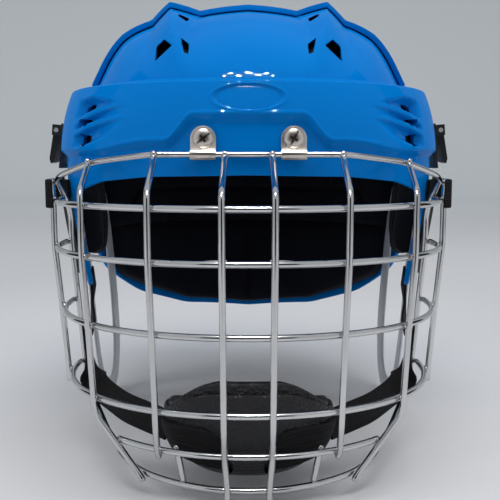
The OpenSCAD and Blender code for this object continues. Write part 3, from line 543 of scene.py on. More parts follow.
def foam(name, dark, light, cell, depth, sheen, shine=0.1, rough=0.86):
    m = Nodes(name)
    cells = m.voronoi(1 / cell)
    grain = m.noise(1.6 / cell, 5, 0.7)
    blotch = m.noise(25, 2)
    colour = m.colours(m.blend(grain, 0.6, blotch, 0.4), [(0.3, dark), (0.75, light)])
    m.set(Sheen_Weight=sheen, Sheen_Roughness=0.5, Specular_IOR_Level=shine)
    return m.use(Base_Color=colour, Roughness=m.range(grain, 0.2, 0.8, rough - 0.08, rough + 0.09),
                 Normal=m.bump(m.blend(cells, 0.7, grain, 0.5), 0.55, depth))


def metal(name, colour, rough, scratches, tint=None):
    m = Nodes(name)
    fine = m.noise(900, 3, 0.6, stretch=(1, 1, 0.15))
    cloud = m.noise(35, 3)
    base = m.colours(cloud, [(0.25, tuple(c * 0.93 for c in colour)), (0.75, tint or colour)])
    m.set(Metallic=1.0)
    return m.use(Base_Color=base, Roughness=m.range(cloud, 0.25, 0.75, rough * 0.8, rough * 1.5),
                 Normal=m.bump(fine, scratches, 0.00004))


YARN, PICK = 0.0016, 0.0011


def webbing():
    m = Nodes("black_webbing")
    uv = m.new("ShaderNodeUVMap", uv_map="weave").outputs[0]
    split = m.new("ShaderNodeSeparateXYZ")
    m.link(uv, split.inputs[0])
    across, along = split.outputs[0], split.outputs[1]

    def wave(value, length):
        return m.math("SINE", m.math("MULTIPLY", value, 2 * math.pi / length))
    yarn = wave(across, YARN)
    lean = m.math("MULTIPLY", m.math("ABSOLUTE", wave(across, 4 * YARN)), 0.0012)
    height = m.blend(yarn, 0.5, wave(m.math("ADD", along, lean), PICK), 0.5)
    fuzz = m.noise(1500, 3, 0.7)
    # The colour follows the weave's height: painted shade, darker in the hollows between yarns, mixed with
    # random fuzz tone.
    weave_shade_and_fuzz = m.blend(m.range(height, -1, 1, 0, 1), 0.55, fuzz, 0.45)
    colour = m.colours(weave_shade_and_fuzz, [(0.25, (0.001, 0.001, 0.0013)), (0.8, (0.008, 0.008, 0.0095))])
    m.set(Sheen_Weight=0.04, Sheen_Roughness=0.4, Specular_IOR_Level=0.12)
    return m.use(Base_Color=colour, Roughness=m.range(fuzz, 0.2, 0.8, 0.55, 0.8),
                 Normal=m.bump(height, 0.6, 0.0003))


def clear_plastic():
    m = Nodes("clear_plastic")
    haze = m.noise(30, 3)
    fine = m.noise(260, 2)
    m.set(IOR=1.4, Transmission_Weight=0.45, Specular_IOR_Level=0.4)
    colour = m.colours(haze, [(0.3, (0.62, 0.65, 0.69)), (0.7, (0.72, 0.75, 0.78))])
    return m.use(Base_Color=colour, Roughness=m.range(haze, 0.3, 0.7, 0.3, 0.45),
                 Normal=m.bump(fine, 0.06, 0.0003))


def black_plastic(name, rough=0.38):
    m = Nodes(name)
    spark = m.noise(700, 4, 0.7)
    cloud = m.noise(40, 2)
    colour = m.colours(cloud, [(0.3, (0.004, 0.004, 0.005)), (0.7, (0.009, 0.009, 0.010))])
    m.set(Specular_IOR_Level=0.3)
    return m.use(Base_Color=colour, Roughness=m.range(spark, 0.3, 0.7, rough * 0.85, rough * 1.25),
                 Normal=m.bump(spark, 0.12, 0.0003))


BLUE = blue_shell()
LINER = foam("liner_foam", (0.0030, 0.0034, 0.0062), (0.0095, 0.0105, 0.0170), 0.0016, 0.0004, 0.04)
PEBBLE_DARK = (0.0008, 0.0008, 0.0013)
CUP_FOAM = foam("pebbled_cup_foam", PEBBLE_DARK, (0.014, 0.014, 0.018), 0.0018, 0.0024, 0.02, 0.45, 0.36)
CHROME = metal("chromed_wire", (0.54, 0.545, 0.555), 0.1, 0.12, (0.62, 0.625, 0.63))
NICKEL = metal("nickel", (0.84, 0.79, 0.73), 0.24, 0.3, (0.93, 0.88, 0.82))
# Darker, browner metal of the screw heads; the brow clips' hooks also take it, as painted shade on the same
# nickel as the plates.
SCREW_METAL_AND_HOOK_SHADE = metal("nickel_screw_and_hook_shade", (0.58, 0.53, 0.48), 0.2, 0.35, (0.66, 0.61, 0.56))
# Near-black metal for the faces inside the screws' cross and slot: painted shade in the recesses.
PAINTED_RECESS_SHADE = metal("painted_recess_shade", (0.07, 0.06, 0.05), 0.5, 0.3)
ZINC = metal("zinc_hardware", (0.60, 0.61, 0.62), 0.3, 0.3)
WEB = webbing()
CLEAR = clear_plastic()
BLACK = black_plastic("black_plastic")
CUP_BLACK = foam("pebbled_black_cup", PEBBLE_DARK, (0.012, 0.012, 0.016), 0.0016, 0.0022, 0.02, 0.4, 0.36)

# ---- shells
turns = spaced([(-WING_TURN, 1.0), (-72, 0.5), (-50, 0.4), (-26, 0.8), (-9, 0.3), (9, 0.8), (26, 0.4),
                (50, 0.5), (72, 1.0), (WING_TURN, None)])
crease, flat = crease_z(turns), np.ones_like(turns)
levels = [front_edge(turns), crease - 4.2, crease + 0.6, flat * (BAND_TOP - 1.2), flat * (BAND_TOP + 4)]
heights = np.concatenate([lo[:, None] + (hi - lo)[:, None] * np.arange(rows) / rows
                          for lo, hi, rows in zip(levels, levels[1:], (34, 9, 56, 14))], 1)
band_rows = heights.shape[1]
start = climb_at(turns, levels[-1])
climbs = np.concatenate([climb_at(turns[:, None], heights),
                         start[:, None] + (90 - start)[:, None] * np.arange(DOME + 1) / DOME], 1)
front_outer = tongue(on_shell(turns[:, None], climbs, front_out(turns[:, None], climbs)))
front_dent = front_crown(on_shell(turns[:, None], climbs, 0))
front_inner = tongue(on_shell(turns[:, None], climbs, front_dent - WALL))
crown_cells = (np.abs(turns[:-1]) <= TONGUE_TURN) & (np.abs(turns[1:]) <= TONGUE_TURN)
present = np.ones((len(turns) - 1, climbs.shape[1] - 1), bool)
present[:, band_rows:] = crown_cells[:, None]
front_shell = build("front_shell_skin", *sheet(flap_in(front_outer), flap_in(front_inner), present))

BAND_VENTS = [(197.6, [(0, -1.3), (9, -2.4), (9, 1.2), (6.3, 2.6), (0, 2.6)]),
              (190.4, [(0, -2.2), (9, -1.2), (9, 2.0), (0, 1.2)]),
              (180.4, [(0, -3.4), (9, -3.2), (9.2, 3.8), (0, 2.2)])]
BAND_VENT_TURN = 40.5
CROWN_VENTS = [(47, EQUATOR_Z + 65, [(-0.9, 5.2), (-5.9, 0.9), (3.3, -7.5), (3.5, 1.3)]),
               (34, EQUATOR_Z + 65, [(3, 6.1), (-1.7, 2.2), (-1.9, -4.4), (0.6, -3.3)]),
               (38, EQUATOR_Z + 87, [(2.7, 2.6), (-3.1, 0), (-2.6, -3.3), (3, 0.6)])]


def rounded_outline(outline):
    points = [(x, y, 0) for x, y in outline]
    corners = zip(points[-1:] + points, points, points[1:] + points[:1])
    return [(float(x), float(y)) for corner in corners for x, y, _ in rounded(corner, 0.8, 3)[1:-1]]


vent_cutters = []
vent_sin, vent_cos = sind(BAND_VENT_TURN), cosd(BAND_VENT_TURN)
for side in (-1, 1):
    for z, outline in BAND_VENTS:
        def swung(p, z=z, side=side):
            return (side * (p[2] * vent_sin + p[0] * vent_cos), -p[2] * vent_cos + p[0] * vent_sin, z + p[1])
        vent_cutters.append(prism(rounded_outline(outline), (95, 160), swung))
    for x, z, outline in CROWN_VENTS:
        def pushed(p, x=x, z=z, side=side):
            return (side * (x + p[0]), -RIM_Y - 6 - p[2], z + p[1])
        vent_cutters.append(prism(rounded_outline(outline), (0, SHELL_A), pushed))
cut(front_shell, vent_cutters)
soften(front_shell, 0.5)
finish_piece(front_shell, "helmet", "shell_blue", BLUE, "front_shell")

half_turns = spaced([(0, 1.2), (24, 0.8), (REAR_SPLIT, 1.2), (180, None)])
rear_turns = np.concatenate([half_turns, 360 - half_turns[-2:0:-1]])
away = off_centre(rear_turns)
low_stops = [0, REAR_SPLIT, REAR_SPLIT + 2, 107, 116, 135, 155, 180]
low_rises = [90, 90, 82, 66, 42, 18, 4, 0]
shifts = smooth((away - 104) / 6)[:, None] * np.linspace(-2.5, 2.5, 7)
low = REAR_Z + np.mean(np.interp(away[:, None] + shifts, low_stops, low_rises), 1)
rear_top = climb_at(away, BAND_TOP + 3.4)
rear_start = np.where(away < 89, np.maximum(rear_top, climb_at_y(np.minimum(away, 88.9), RIM_Y)), rear_top)
crown_row = np.arange(REAR_DOME + 1)
before_side = (away < 89)[:, None]
low_z = low[:, None] + (BAND_TOP + 3.4 - low)[:, None] * np.arange(LOW_ROWS) / LOW_ROWS
rear_climbs = np.concatenate([climb_at(away[:, None], low_z),
                              rear_start[:, None] + (90 - rear_start)[:, None] * crown_row / REAR_DOME], 1)
rear_bump = crown_out(on_shell(rear_turns[:, None], rear_climbs, 0))
bead = 0.9 * np.exp(-((low_z - low[:, None] - 5) / 2.2) ** 2) * (away > REAR_SPLIT + 4)[:, None]
rear_bump_outer = rear_bump.copy()
rear_bump_outer[:, :LOW_ROWS] += bead
rear_bump_outer[:, LOW_ROWS:] += 0.7 * np.clip(1 - crown_row / 3, 0, 1)[None] * before_side
rim_slope = np.zeros_like(rear_climbs)
rim_slope[:, LOW_ROWS:] = 1.1 * np.clip(1 - crown_row / 6, 0, 1)[None] * before_side
rear_outer = on_shell(rear_turns[:, None], rear_climbs + rim_slope, GAP + WALL + rear_bump_outer)
rear_inner = on_shell(rear_turns[:, None], rear_climbs, GAP + rear_bump)
behind = np.minimum(away, np.roll(away, -1)) >= REAR_SPLIT - 0.01
rear_present = np.ones((len(rear_turns), rear_climbs.shape[1] - 1), bool)
rear_present[:, :LOW_ROWS] = behind[:, None]
rear_shell = build("rear_shell_skin", *sheet(rear_outer, rear_inner, rear_present, closed=True))
NAPE_SLOT = rounded_outline([(-11, 2.8), (11, 2.8), (9, -2.8), (-9, -2.8)])
SLOT_X, SLOT_Y, SLOT_Z = 29, SHELL_A - 34, 82
slot_cutters = [prism(NAPE_SLOT, (0, 50), lambda p, x=x: (x + p[0], SLOT_Y + p[2], SLOT_Z + p[1]))
                for x in (-SLOT_X, SLOT_X)]
cut(rear_shell, slot_cutters)
soften(rear_shell, 0.9, 3)
finish_piece(rear_shell, "rear", "shell_blue", BLUE, "rear_shell")


# ---- pads
GROOVE_U, GROOVE_V = 0.012, 0.03


def pad(node, body, low_table, high_table, back, thick, grooves_u, grooves_v, lean=0, cutters=()):
    """A moulded foam pad inside the shell, with moulded channels. Its edges are tables of turns and climbs."""
    nu, nv = 90, 44
    u, v = np.linspace(0, 1, nu), np.linspace(0, 1, nv)
    t = low_table[0][0] + (low_table[-1][0] - low_table[0][0]) * u
    lo, hi = np.interp(t, *zip(*low_table)), np.interp(t, *zip(*high_table))
    climb = lo[:, None] + (hi - lo)[:, None] * v[None]

    def crown(w):
        return 0.35 + 0.65 * np.sqrt(np.clip(1 - np.abs(2 * w - 1) ** 6, 0, 1))
    full = crown(u)[:, None] * crown(v)[None]
    pinch = np.zeros((nu, nv))
    for g in grooves_u:
        pinch = np.maximum(pinch, np.exp(-((u - g) / GROOVE_U) ** 2)[:, None])
    for g in grooves_v:
        pinch = np.maximum(pinch, np.exp(-((v - g) / GROOVE_V) ** 2)[None])
    ripple = 0.21 * np.sin(u * 37)[:, None] * np.sin(v * 15 + 1)[None]
    depth = np.minimum(full * (thick * (1 - 0.3 * pinch) - ripple), thick)
    bare = np.minimum(0, crown_out(on_shell(t[:, None], climb, 0))) - lean * np.maximum(0, -climb)
    outer = tongue(on_shell(t[:, None], climb, bare - back))
    inner = tongue(on_shell(t[:, None], climb, bare - back - depth))
    foam_piece = build(node + "_foam", *sheet(outer, inner), round_edges=0 if cutters else 1, sharp=60)
    if cutters:
        cut(foam_piece, cutters)
        soften(foam_piece, 0.8)
    finish_piece(foam_piece, body, "liner_foam", LINER, node)


EAR_T, EAR_BACK = 2.0, WALL + 0.4
FRONT_FOAM, FOAM = 12, 14
PAD_BACK, REAR_BACK, TEMPLE_BACK = WALL + 0.7, 0.7 - GAP, EAR_BACK + EAR_T + 0.7
pad("forehead_pad", "helmet", [(-50, -4), (-30, -1), (0, 0), (30, -1), (50, -4)], [(-50, 19), (50, 19)],
    PAD_BACK, FRONT_FOAM, (0.18, 0.39, 0.61, 0.82), ())
pad("front_crown_pad", "helmet", [(-50, 21.5), (50, 21.5)], [(-50, 43), (50, 43)],
    PAD_BACK + 2, FOAM, (0.25, 0.5, 0.75), ())
pad("top_pad", "helmet", [(-96, 46), (96, 46)], [(-96, 86), (96, 86)],
    PAD_BACK + 1.9, FOAM, (0.2, 0.5, 0.8), (0.5,))
pad("nape_pad", "rear", [(118, -73), (124, -85), (135, -95), (155, -110), (180, -115), (205, -110), (225, -95),
                         (236, -85), (242, -73)], [(118, -47.3), (242, -47.3)],
    REAR_BACK, FOAM, (0.5,), (), cutters=slot_cutters)
pad("rear_pad", "rear", [(118, -46.8), (242, -46.8)],
    [(118, -3), (131, -3), (133, 22), (180, 23), (227, 22), (229, -3), (242, -3)],
    REAR_BACK, FOAM, (0.25, 0.5, 0.75), (0.4,))
pad("rear_top_pad", "rear", [(138, 25.5), (222, 25.5)], [(138, 52), (222, 52)],
    REAR_BACK + 0.8, FOAM, (0.5,), ())
RAIL_X, EAR_LEAN = 107.64, 0.075
TEMPLE_LOW = [(53, -10), (57, -20), (61.5, -38), (66, -54), (81, -58), (86, -52), (89.5, -13), (96, -3)]
for side, side_name in SIDES:
    low_table = [(side * t, c) for t, c in TEMPLE_LOW[::side]]
    rail = [(side * x, y) for x, y in ((RAIL_X - 4.6, -52), (133, -52), (133, 38), (RAIL_X - 4.6, 38))]
    pad("temple_pad_" + side_name, "helmet", low_table, [(t, 43) for t, _ in low_table],
        TEMPLE_BACK, FRONT_FOAM, (0.5,), (0.55,), lean=EAR_LEAN, cutters=[prism(rail, (169.5, 186.5))])

# ---- cage
WIRE_R = 1.65
LAP = 2 * WIRE_R - 0.45
CAGE_SIDE, CAGE_Y, SIDE_PLANE, REAR_FRAME_Y, CAGE_POWER = 107.2, 184.0, -90.0, -82.0, 2.1
HINGE_Z, HINGE_HALF = 172.5, 44.0
LEVELS = {2: 147.5, 3: 122.0, 4: 87.5, 5: 50.0}
LEVEL_6, LEVEL_7 = 25.5, 6.5
CLIP_X, CLIP_W, CLIP_T, CLIP_H = 23.0, 13.0, 1.2, 14.5
CLIP_BACK = brow_y(CLIP_X - CLIP_W / 2, HINGE_Z) - 0.3
CLIP_FRONT = CLIP_BACK - CLIP_T
HOOK_R = WIRE_R + 0.08
HINGE_Y = CLIP_FRONT - HOOK_R


def level_shape(z):
    return (z, CAGE_SIDE * (1 - 0.06 * float(smooth((LEVELS[3] + 4 - z) / 76))), CAGE_Y + SIDE_PLANE)


SHAPES = {k: level_shape(z) for k, z in LEVELS.items()}
CHIN_LEVEL = (LEVEL_6, 0.953 * CAGE_SIDE, CAGE_Y + SIDE_PLANE - 12)
BOTTOM_LEVEL = (LEVEL_7, 0.85 * CAGE_SIDE, CAGE_Y + SIDE_PLANE - 16)


def on_level(shape, t, out=0.0, up=0.0):
    q = 2 / CAGE_POWER
    s, c = sind(t), cosd(t)
    sx, sy = np.sign(s), np.sign(c)
    n = np.array([sx * abs(s) ** (2 - q) / shape[1], -sy * abs(c) ** (2 - q) / shape[2]])
    n = n / np.linalg.norm(n)
    return np.array([shape[1] * sx * abs(s) ** q + out * n[0],
                     SIDE_PLANE - shape[2] * sy * abs(c) ** q + out * n[1], shape[0] + up])


def station(x):
    return math.degrees(math.asin((x / CAGE_SIDE) ** (CAGE_POWER / 2)))


INNER_T, FRONT_T, CORNER_T, SIDE_T = station(12), station(46), station(80.5), 85
BACK_T = 90 + math.degrees(math.asin(((REAR_FRAME_Y + 1.5 - SIDE_PLANE) / (CAGE_Y + SIDE_PLANE))
                                     ** (CAGE_POWER / 2)))
CHIN_END_T, FOOT_T, ANCHOR_T, BEND = 39, 35, 20, 7
BROW_BEND = np.array([84, HINGE_Y + 24.5, HINGE_Z - 4])
TOP_CORNER = np.array([CAGE_SIDE + 0.8, SIDE_PLANE - 12, HINGE_Z - 12.5])
TOP_BACK = np.array([CAGE_SIDE + 0.8, REAR_FRAME_Y - 5, HINGE_Z - 20.5])


def flipped(path, side=-1):
    return [np.array([side * p[0], p[1], p[2]], float) for p in path]


def across(path):
    return flipped([p for p in path if p[0] > 1e-9])[::-1] + list(path)


def frame_x(z):
    return on_level(level_shape(z), BACK_T)[0] - LAP


low_x = frame_x(LEVELS[5])
frame_half = [(HINGE_HALF + 6 * k, HINGE_Y, HINGE_Z) for k in (0, 1)] + [BROW_BEND, TOP_CORNER, TOP_BACK] + \
    [(frame_x(z), REAR_FRAME_Y, z) for z in (LEVELS[2] - 6, LEVELS[3], LEVELS[4], LEVELS[5])] + \
    [(low_x - 3.5, REAR_FRAME_Y - 3, LEVELS[5] - 16), (low_x - 12, REAR_FRAME_Y - 16, LEVEL_7 + 15.5),
     (low_x - 22, REAR_FRAME_Y - 38, LEVEL_7 + 9), (low_x - 32, REAR_FRAME_Y - 59, LEVEL_7 + 6)] + \
    [on_level(BOTTOM_LEVEL, t, 0, 4 * (t / FOOT_T) ** 2) for t in (FOOT_T, 23, 12, INNER_T, 0)]
frame_half = [np.array(p, float) for p in frame_half]
frame_loop = frame_half + flipped(frame_half[:-1])[::-1]
wires = {
    "cage_hinge_wire": [(x, HINGE_Y, HINGE_Z) for x in (-HINGE_HALF, 0, HINGE_HALF)],
    "cage_frame": rounded(frame_loop, 9, 8),
    "cage_wire_6": across([on_level(CHIN_LEVEL, t, 0, 3 * (t / CHIN_END_T) ** 2)
                           for t in np.linspace(0, CHIN_END_T + 1, 40)]),
}
for k, shape in SHAPES.items():
    wires["cage_wire_%d" % k] = across([on_level(shape, t) for t in np.linspace(0, BACK_T, 110)])


def upright_run(t):
    return [on_level(SHAPES[k], t, LAP, up) for k, up in ((2, BEND), (3, 0), (4, 0), (5, -BEND))]


def hinge_end(x):
    return [(x, HINGE_Y - LAP, HINGE_Z + up) for up in (2, -2)]


foot = on_level(BOTTOM_LEVEL, INNER_T, LAP)
uprights = {
    5: hinge_end(12) + upright_run(INNER_T)
    + [on_level(CHIN_LEVEL, INNER_T, 0.97 * LAP), on_level(BOTTOM_LEVEL, INNER_T, LAP, 2), (*foot[:2], 0.9)],
    6: hinge_end(HINGE_HALF + 3.5) + upright_run(FRONT_T)
    + [on_level(CHIN_LEVEL, FRONT_T, 1.18 * LAP, 1.2), on_level(CHIN_LEVEL, FRONT_T, 1.18 * LAP - 2.4, -2.3)],
    7: [BROW_BEND + [0.57 * LAP, -0.82 * LAP, up] for up in (2, -2)] + upright_run(CORNER_T)
    + [on_level(BOTTOM_LEVEL, FOOT_T, 1.1 * LAP, 4), on_level(BOTTOM_LEVEL, FOOT_T - 1.5, 1.1 * LAP, 1)],
    8: [TOP_CORNER + [LAP, 5.5, -1 - 3 * k] for k in (0, 1)]
    + [on_level(SHAPES[k], SIDE_T, LAP, up) for k, up in ((2, 0), (3, 0), (4, 0), (5, 0), (5, -BEND))],
}
for k, path in uprights.items():
    wires["cage_upright_%d" % k] = rounded(path, 5, 8)
    wires["cage_upright_%d" % (9 - k)] = flipped(wires["cage_upright_%d" % k])
for node, path in wires.items():
    path = resampled(path, 1.1, 0 if node in ("cage_hinge_wire", "cage_frame") else 0.9 * WIRE_R)
    piece = join(node.replace("cage_", "chrome_"), [tube(path, WIRE_R)], sharp=50)
    finish_piece(piece, "cage", "cage_steel", CHROME, node)
anchor = [on_level(CHIN_LEVEL, ANCHOR_T, -0.95 * LAP, 3.5), on_level(BOTTOM_LEVEL, ANCHOR_T, -0.95 * LAP, -2)]
anchors = [tube(resampled(flipped(anchor, side), 1.1, 0.9 * WIRE_R), WIRE_R) for side in (-1, 1)]
finish_piece(join("chrome_anchors", anchors, sharp=50), "cage", "cage_steel", CHROME, "cage_anchors")
BEAD = [(1.8125 * r, 1.3 * h) for r, h in ((0.35, -0.95), (0.8, -0.6), (1.0, 0.0), (0.8, 0.6), (0.35, 0.95))]
welds = [(on_level(shape, t), on_level(shape, t, LAP))
         for t in (INNER_T, FRONT_T, CORNER_T, SIDE_T) for k, shape in SHAPES.items()
         if t == SIDE_T or k in (3, 4)]
welds += [((x, HINGE_Y, HINGE_Z), (x, HINGE_Y - LAP, HINGE_Z)) for x in (12, HINGE_HALF + 3.5)]
ends = [flipped(weld, side) for weld in welds for side in (-1, 1)]
beads = [disc((a + b) / 2, b - a, BEAD, 16) for a, b in ends]
finish_piece(join("weld_beads", beads, sharp=60), "cage", "cage_steel", CHROME)

# ---- brow clips and screws
SCREW_Z, SCREW_HOLE_R = HINGE_Z + 8, 2.7
HOOK_START, HOOK_SWEEP = 75, 330


def second_material(obj, material, chosen):
    """Gives the material to the faces whose middles, in design millimetres, are chosen."""
    obj.data.materials.append(material)
    for face in obj.data.polygons:
        if chosen(np.array(face.center) / MM - [0, CENTRE_Y, 0]):
            face.material_index = 1


half = CLIP_W / 2
top = HINGE_Z + CLIP_H - half
for side, side_name in SIDES:
    x = side * CLIP_X
    outline = [(x - half, HINGE_Z + 1.5), (x + half, HINGE_Z + 1.5)] + \
        [(x + half * cosd(a), top + half * sind(a)) for a in np.linspace(0, 180, 25)]
    plate = prism(outline, (CLIP_FRONT, CLIP_BACK), lambda p: (p[0], p[2], p[1]))
    section = [(x - half, HOOK_R), (x - half, HOOK_R + CLIP_T), (x + half, HOOK_R + CLIP_T), (x + half, HOOK_R)]
    hook = skin([[(end, HINGE_Y + r * sind(a), HINGE_Z + r * cosd(a)) for end, r in section]
                 for a in HOOK_START - HOOK_SWEEP * np.arange(41) / 40])
    clip = join("brow_clip_" + side_name, [plate, hook], round_edges=0.25, sharp=40)
    cut(clip, [disc((x, CLIP_BACK + 2, SCREW_Z), (0, -1, 0), [(SCREW_HOLE_R, 0), (SCREW_HOLE_R, 8)])])
    finish_piece(clip, "helmet", "nickel", NICKEL, "clip_" + side_name)
    # Painted shade: the clip's hook below the plate takes the darker screw metal, though hook and plate are one
    # nickel part.
    second_material(clip, SCREW_METAL_AND_HOOK_SHADE, lambda middle: middle[2] < HINGE_Z + 1.4)

SHANK = [(2.5, -8), (2.5, 0)]
HEAD = [(5.2, 0), (5.2, 0.5), (5.05, 0.85), (4.6, 1.2), (3.9, 1.5), (3.0, 1.78), (2.0, 1.95), (1.0, 2.03),
        (0.3, 2.05)]
screws = [disc((x, CLIP_FRONT, SCREW_Z), (0, -1, 0), SHANK + HEAD, 56) for x in (-CLIP_X, CLIP_X)]
screw_heads = join("brow_screws_nickel", screws, sharp=40)
CROSS = [(0.7, 0.7), (2.2, 0.45), (2.2, -0.45), (0.7, -0.7), (0.45, -2.2), (-0.45, -2.2), (-0.7, -0.7),
         (-2.2, -0.45), (-2.2, 0.45), (-0.7, 0.7), (-0.45, 2.2), (0.45, 2.2)]
SLOT = [(-4.5, 0.55), (-4.5, -0.55), (4.5, -0.55), (4.5, 0.55)]
for x, spin in ((-CLIP_X, 38), (CLIP_X, 62)):
    s, c = sind(spin), cosd(spin)
    for outline, depth in ((CROSS, 0.25), (SLOT, 1.25)):
        def spun(p, s=s, c=c, x=x):
            return (x + p[0] * c - p[1] * s, p[2], SCREW_Z + p[0] * s + p[1] * c)
        cut(screw_heads, [prism(outline, (CLIP_FRONT - depth, CLIP_FRONT - 4), spun)])
finish_piece(screw_heads, "helmet", "nickel", SCREW_METAL_AND_HOOK_SHADE, "clip_screws")


# Chooses the faces inside a screw's cross or slot recess, which take the painted recess shade.
def in_recess(middle):
    from_axis = math.hypot(abs(middle[0]) - CLIP_X, middle[2] - SCREW_Z)
    above = CLIP_FRONT - middle[1]
    return 0.1 < above < min(1.0, np.interp(from_axis, *zip(*HEAD[::-1])) - 0.18)


# Painted shade: the recess faces of the screw heads take the near-black metal.
second_material(screw_heads, PAINTED_RECESS_SHADE, in_recess)

# ---- straps
WEB_W, WEB_T = 16.0, 1.6


def web(name, points, faces, uv, body, *nodes):
    obj = build(name, points, faces, weld=False, uv=uv, sharp=60)
    finish_piece(obj, body, "webbing", WEB, *nodes)


def sewn_web(name, side, outer, inner, across, along, body, *nodes):
    """Webbing that lies on a curved surface. across and along are the weave's lengths in metres."""
    points, faces = sheet(outer, inner)
    points[:, 0] *= side
    uv = np.stack(np.broadcast_arrays(across, along), -1).reshape(-1, 2)
    web(name, points, faces, np.concatenate([uv, uv]), body, *nodes)


STRAP_Z = HINGE_Z - 21.5
STRAP_X = on_level(SHAPES[3], SIDE_T, LAP)[0] + WIRE_R + 0.6 + WEB_T / 2
STRAP_FRONT = on_level(SHAPES[3], SIDE_T)[1] - WIRE_R - 0.4 - WEB_T / 2
CUP_Y, CUP_W, CUP_L, CUP_H, CUP_TOP = SIDE_PLANE - 53, 88.0, 56.0, 37.0, LEVELS[5] - 6
side_path = [(SHELL_B + 2.9, -30, STRAP_Z + 2), (SHELL_B + 0.4, -52, STRAP_Z + 2),
             (STRAP_X + 2, SIDE_PLANE + 18, STRAP_Z), (STRAP_X + 0.9, SIDE_PLANE - 7, STRAP_Z),
             (STRAP_X, STRAP_FRONT - 1, STRAP_Z), (STRAP_X - 3.4, STRAP_FRONT - 1.8, STRAP_Z)]
cup_path = [(CUP_W / 2 - 1.2, CUP_Y + 2, 31), (CUP_W / 2 + 4, CUP_Y + 8, 31), (68, -118, 33), (84, -99, 37),
            (91, -93, 42), (93.8, -90, 56), (95.1, -88.8, 72)]
chin_path = [(104.2, -17, 92), (102.5, -34, 84), (99, -52, 74), (96.5, -62, 66)]
swept = [("side_strap_", side_path, 5, (0, 0, 1), "cage"),
         ("cup_strap_", cup_path, 8, (0.15, 0.5, 1), "cage"),
         ("chin_strap_", chin_path, 8, (0.1, 0.6, 1), "helmet")]
t, z = np.linspace(56, 65.5, 17), np.linspace(100, 158, 60)
stand_off = (0.7 + 2.4 * (t - t[0]) / (t[-1] - t[0]))[:, None]
climb = climb_at(t[:, None], z[None])
outer, inner = [flap_in(on_shell(t[:, None], climb, stand_off + more)) for more in (WEB_T, 0)]
for side, side_name in SIDES:
    for kind, path, reach, guide, body in swept:
        path, guide = resampled(rounded(flipped(path, side), reach), 1.6), flipped([guide], side)[0]
        web(kind + side_name + "_web", *ribbon(path, guide, WEB_W, WEB_T), body, kind + side_name)
    sewn_web("flap_strap_%s_web" % side_name, side, outer, inner, (t - 62.5)[:, None] * 0.0021, z[None] * MM,
             "helmet", "flap_strap_" + side_name)

# ---- ear guards
EAR_Y, EAR_TOP, EAR_W, EAR_POWER, EAR_COLUMNS = 14.0, 176.0, 76.0, 0.72, 160


def ear_place(y, z, back):
    lean_in = EAR_LEAN * np.maximum(0, EQUATOR_Z - z) + 2 * (np.maximum(0, z - EQUATOR_Z) / 22) ** 2
    return np.stack([SHELL_B * left_over(y / SHELL_A) - back - lean_in, y, z], -1)


def signed_power(v):
    return (np.sign(v) * np.abs(v) ** EAR_POWER)[:, None]


a = np.arange(EAR_COLUMNS) * 360 / EAR_COLUMNS
inset = np.array([0, 0.5, 1.6, 4, 6.5, 9, 11.4, 12.5, 13])
squeeze = np.array([1.0, 0.45, 0.1, 0, 0, 0, 0.1, 0.45, 1.0]) * EAR_T / 2
y = EAR_Y + signed_power(cosd(a)) * (EAR_W / 2 - inset)
z = EAR_TOP / 2 + signed_power(sind(a)) * (EAR_TOP / 2 - inset)
for side, side_name in SIDES:
    points, faces = sheet(ear_place(y, z, EAR_BACK + squeeze), ear_place(y, z, EAR_BACK + EAR_T - squeeze),
                          closed=True)
    points[:, 0] *= side
    obj = build("ear_guard_%s_clear" % side_name, points, faces, sharp=50)
    finish_piece(obj, "helmet", "clear_plastic", CLEAR, "ear_guard_" + side_name)

# ---- chin cup
CUP_RISE, CUP_DIP = 12, 8
CUP_WALL, CUP_GAP, CUP_FOAM_IN = 2.4, 2.5, 7.4
CUP_SLOT_X, CUP_SLOT_Z = (-27, -9.7, 9.7, 27), 17


def front_and_throat(a, front, throat):
    """A height change round the cup: front ahead, minus throat behind, eased in between."""
    return front * smooth((-sind(a) - 0.1) / 0.75) - throat * smooth((sind(a) - 0.1) / 0.75)


def in_cup(a, drop, out):
    r = radius_of(cosd(drop) * cosd(a) / (CUP_W / 2 + out), cosd(drop) * sind(a) / (CUP_L / 2 + out),
                  sind(drop) / (CUP_H + out))
    z = CUP_TOP - r * sind(drop) + front_and_throat(a, CUP_RISE, CUP_DIP) * np.maximum(0, 1 - drop / 42)
    return np.stack([r * cosd(drop) * cosd(a), CUP_Y + r * cosd(drop) * sind(a), z], -1)


a = -np.arange(144) * 2.5
drop = np.concatenate([[0, 1.5], np.linspace(3.5, 90, 44)])
roll = -0.8 * np.exp(-((drop - 12) / 4) ** 2)[None]
outer, inner = in_cup(a[:, None], drop[None], roll), in_cup(a[:, None], drop[None], -CUP_WALL)
cup = build("chin_cup_shell", *sheet(outer, inner, closed=True), round_edges=0.8, sharp=50)
w = np.arange(24) * 15
for x in CUP_SLOT_X:
    oval = list(zip(x + 2 * cosd(w), CUP_SLOT_Z + 5.5 * sind(w)))
    cut(cup, [prism(oval, (CUP_Y - 60, CUP_Y - 8), lambda p: (p[0], p[2], p[1]))])
finish_piece(cup, "cage", "black_plastic", CUP_BLACK, "chin_cup")
outer, inner = in_cup(a[:, None], drop[None], -CUP_GAP), in_cup(a[:, None], drop[None], -CUP_FOAM_IN)
for row, share in enumerate((1, 0.97, 0.9)):
    for grid in (outer, inner):
        grid[:, row, 2] += (2 + front_and_throat(a, 3.5, 1.5)) * share
cup_foam = build("chin_cup_liner", *sheet(outer, inner, closed=True), round_edges=1.2, sharp=50)
finish_piece(cup_foam, "cage", "cup_foam", CUP_FOAM, "chin_cup_foam")
TAB_TURNS, TAB_FALLS, TAB_HALF_W, TAB_L = (-2, -64), (17, 36), 11.5, 46
